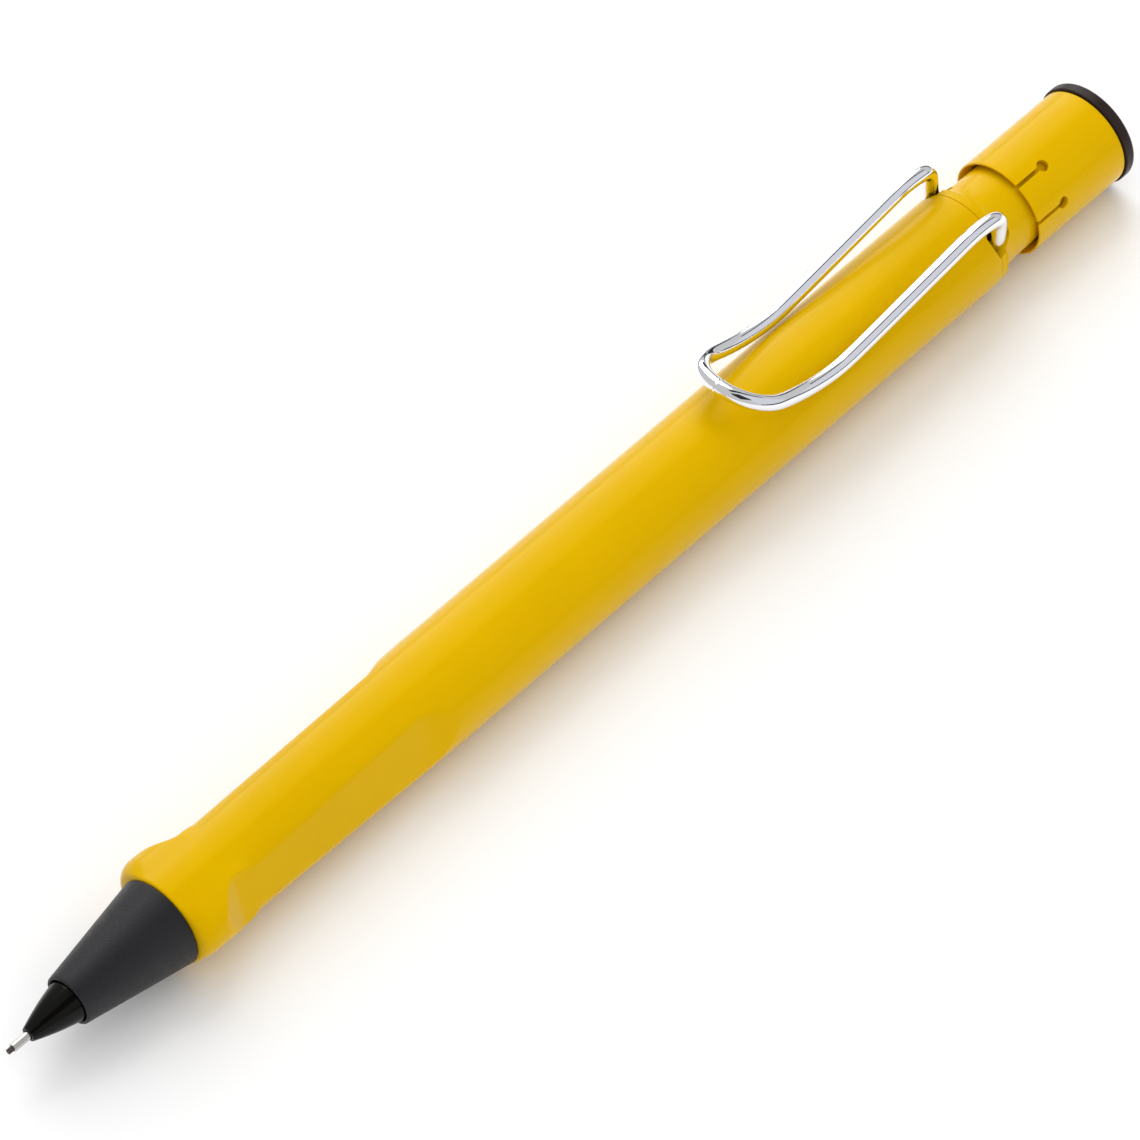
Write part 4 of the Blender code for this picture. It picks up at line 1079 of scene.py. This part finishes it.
class PENCIL_OT_stage(bpy.types.Operator):
    """Lay the pale floor, light the studio and place the camera"""
    bl_idname = "pencil.stage"
    bl_label = "Studio"

    def execute(self, context):
        scene = context.scene
        self.floor(scene)
        self.walls(scene)
        self.lights(scene)
        self.flags(scene)
        self.camera(scene)
        scene.view_settings.view_transform = "Standard"
        return {"FINISHED"}

    def floor(self, scene):
        """A wide flat sheet just under the pencil."""
        size = 3.0
        corners = np.array([(-size, -size, 0), (size, -size, 0), (size, size, 0), (-size, size, 0)])
        corners[:, 2] = CAD_BOX[0][2] - 0.05 * MM
        mesh = bpy.data.meshes.new("studio_floor")
        mesh.from_pydata(corners.tolist(), [], [(0, 1, 2, 3)])
        floor = bpy.data.objects.new("studio_floor", mesh)
        scene.collection.objects.link(floor)
        base = tuple(scene.pencil_colours.floor)
        mesh.materials.append(self.card(base))

    def card(self, base):
        """Matt white card: no gloss, and a drift of shade too faint to see as a pattern."""
        material, tree, shader, where = new_finish("matt_white_card", base, 0.95)
        two_tones(tree, shader, where, base, 0.985, 40.0)
        return material

    def walls(self, scene):
        """Pale walls all round."""
        world = bpy.data.worlds.new("pale_studio")
        scene.world = world
        world.use_nodes = True
        background = world.node_tree.nodes["Background"]
        background.inputs["Color"].default_value = (1.0, 1.0, 1.0, 1.0)
        background.inputs["Strength"].default_value = scene.pencil_stage.sky

    def lights(self, scene):
        """A large softbox on the far side, and two fills that are flagged off from the reflections."""
        stage = scene.pencil_stage
        self.panel(scene, "softbox", (0.364, 0.499, 0.508), (0.6, 1.0), stage.softbox, True)
        self.panel(scene, "overhead_fill", (0.0, -0.1, 1.0), (1.4, 1.4), stage.overhead, False)
        self.panel(scene, "near_fill", (-0.2, -0.9, 0.3), (1.2, 0.6), stage.fill, False)

    def flags(self, scene):
        """Cards that only reflections see: a grey one over the near side between two dark strips, a dark
        one where the camera stands and a dark one low on the far side, which outlines bright wire."""
        grey = (0.70, 0.71, 0.76)
        dark = (0.03, 0.03, 0.03)
        self.flag(scene, "grey_flag", self.round_the_axis(-44), (0.9, 1.02), grey)
        self.flag(scene, "upper_strip", self.round_the_axis(-3), (0.9, 0.12), dark)
        self.flag(scene, "lower_strip", self.round_the_axis(-85.5), (0.9, 0.12), dark)
        self.flag(scene, "camera_flag", (-0.24, -0.50, 0.83), (0.54, 0.40), dark)
        self.flag(scene, "far_flag", self.round_the_axis(88), (1.4, 0.03), dark)
        self.flag(scene, "rear_flag", (1.0, 0.25, 0.09), (0.9, 0.12), dark)

    def round_the_axis(self, degrees):
        """The direction that the camera sees reflected in a bar along X, at that angle round it."""
        angle = math.radians(degrees)
        onward, outward = 0.4548, 0.8906
        return onward, outward * math.sin(angle), outward * math.cos(angle)

    def flag(self, scene, name, direction, size, shade):
        """A flat card that faces the pencil from that direction, with its first side along X."""
        away = 0.7
        direction = Vector(direction).normalized()
        along = Vector((1, 0, 0))
        if abs(direction.x) > 0.99:
            along = Vector((0, 1, 0))
        along = (along - direction * along.dot(direction)).normalized()
        up = direction.cross(along)
        middle = Vector((0, 0, AXIS_HEIGHT)) + direction * away
        corners = [middle + along * size[0] * i / 2 + up * size[1] * j / 2
                   for i, j in ((-1, -1), (1, -1), (1, 1), (-1, 1))]
        mesh = bpy.data.meshes.new(name)
        mesh.from_pydata(corners, [], [(0, 1, 2, 3)])
        card = bpy.data.objects.new(name, mesh)
        scene.collection.objects.link(card)
        material, tree, shader, where = new_finish(name + "_card", (0, 0, 0), 1.0)
        shader.inputs["Emission Color"].default_value = (*shade, 1.0)
        shader.inputs["Emission Strength"].default_value = 1.0
        shader.inputs["Specular IOR Level"].default_value = 0.0
        mesh.materials.append(material)
        card.visible_camera = False
        card.visible_diffuse = False
        card.visible_shadow = False
        card.visible_transmission = False

    def panel(self, scene, name, place, size, power, reflected):
        """A rectangular light that faces the pencil, seen in reflections or not."""
        light = bpy.data.lights.new(name, "AREA")
        light.shape = "RECTANGLE"
        light.size, light.size_y = size
        light.energy = power
        lamp = bpy.data.objects.new(name, light)
        lamp.location = place
        aim = Vector((0, 0, AXIS_HEIGHT)) - Vector(place)
        lamp.rotation_euler = aim.to_track_quat("-Z", "Y").to_euler()
        lamp.visible_glossy = reflected
        scene.collection.objects.link(lamp)

    def camera(self, scene):
        """Looks down on the near side from the front, turned so that the pencil rises to the right."""
        stage = scene.pencil_stage
        back = Vector((-0.4548, -0.4318, 0.7789)).normalized()
        level = Vector((1, 0, 0))
        level = (level - back * level.dot(back)).normalized()
        other = back.cross(level)
        roll = math.radians(40.4)
        right = level * math.cos(roll) - other * math.sin(roll)
        up = level * math.sin(roll) + other * math.cos(roll)
        camera = bpy.data.cameras.new("studio_camera")
        camera.lens = stage.lens
        camera.sensor_width = 36
        camera.clip_start = 0.05
        camera.clip_end = 20
        holder = bpy.data.objects.new("studio_camera", camera)
        place = Vector((-0.275 * MM, 0.214 * MM, AXIS_HEIGHT + 0.118 * MM)) + back * stage.distance
        turn_matrix = Matrix((right, up, back)).transposed().to_4x4()
        holder.matrix_world = Matrix.Translation(place) @ turn_matrix
        scene.collection.objects.link(holder)
        scene.camera = holder


class PENCIL_PT_panel(bpy.types.Panel):
    """Sidebar panel that lists the pencil's pieces and settings"""
    bl_label = "Mechanical Pencil"
    bl_idname = "PENCIL_PT_panel"
    bl_space_type = "VIEW_3D"
    bl_region_type = "UI"
    bl_category = "Pencil"

    def draw(self, context):
        for operator in OPERATORS:
            self.layout.operator(operator.bl_idname)
        for name in SETTINGS:
            box = self.layout.box()
            group = getattr(context.scene, name)
            for key in group.__annotations__:
                box.prop(group, key)


SETTINGS = {"pencil_barrel": BarrelSettings, "pencil_collar": CollarSettings, "pencil_clip": ClipSettings,
            "pencil_button": ButtonSettings, "pencil_tip": TipSettings, "pencil_stage": StageSettings,
            "pencil_colours": ColourSettings}
OPERATORS = (PENCIL_OT_stage, PENCIL_OT_barrel, PENCIL_OT_collar, PENCIL_OT_clip, PENCIL_OT_button,
             PENCIL_OT_tip, PENCIL_OT_mechanism, PENCIL_OT_eraser)


def register():
    for group in SETTINGS.values():
        bpy.utils.register_class(group)
    for name, group in SETTINGS.items():
        setattr(bpy.types.Scene, name, PointerProperty(type=group))
    for operator in OPERATORS:
        bpy.utils.register_class(operator)
    bpy.utils.register_class(PENCIL_PT_panel)


def unregister():
    bpy.utils.unregister_class(PENCIL_PT_panel)
    for operator in reversed(OPERATORS):
        bpy.utils.unregister_class(operator)
    for name in SETTINGS:
        delattr(bpy.types.Scene, name)
    for group in SETTINGS.values():
        bpy.utils.unregister_class(group)


def main():
    register()
    for operator in OPERATORS:
        getattr(bpy.ops.pencil, operator.bl_idname.split(".")[1])()


if __name__ == "__main__":
    main()
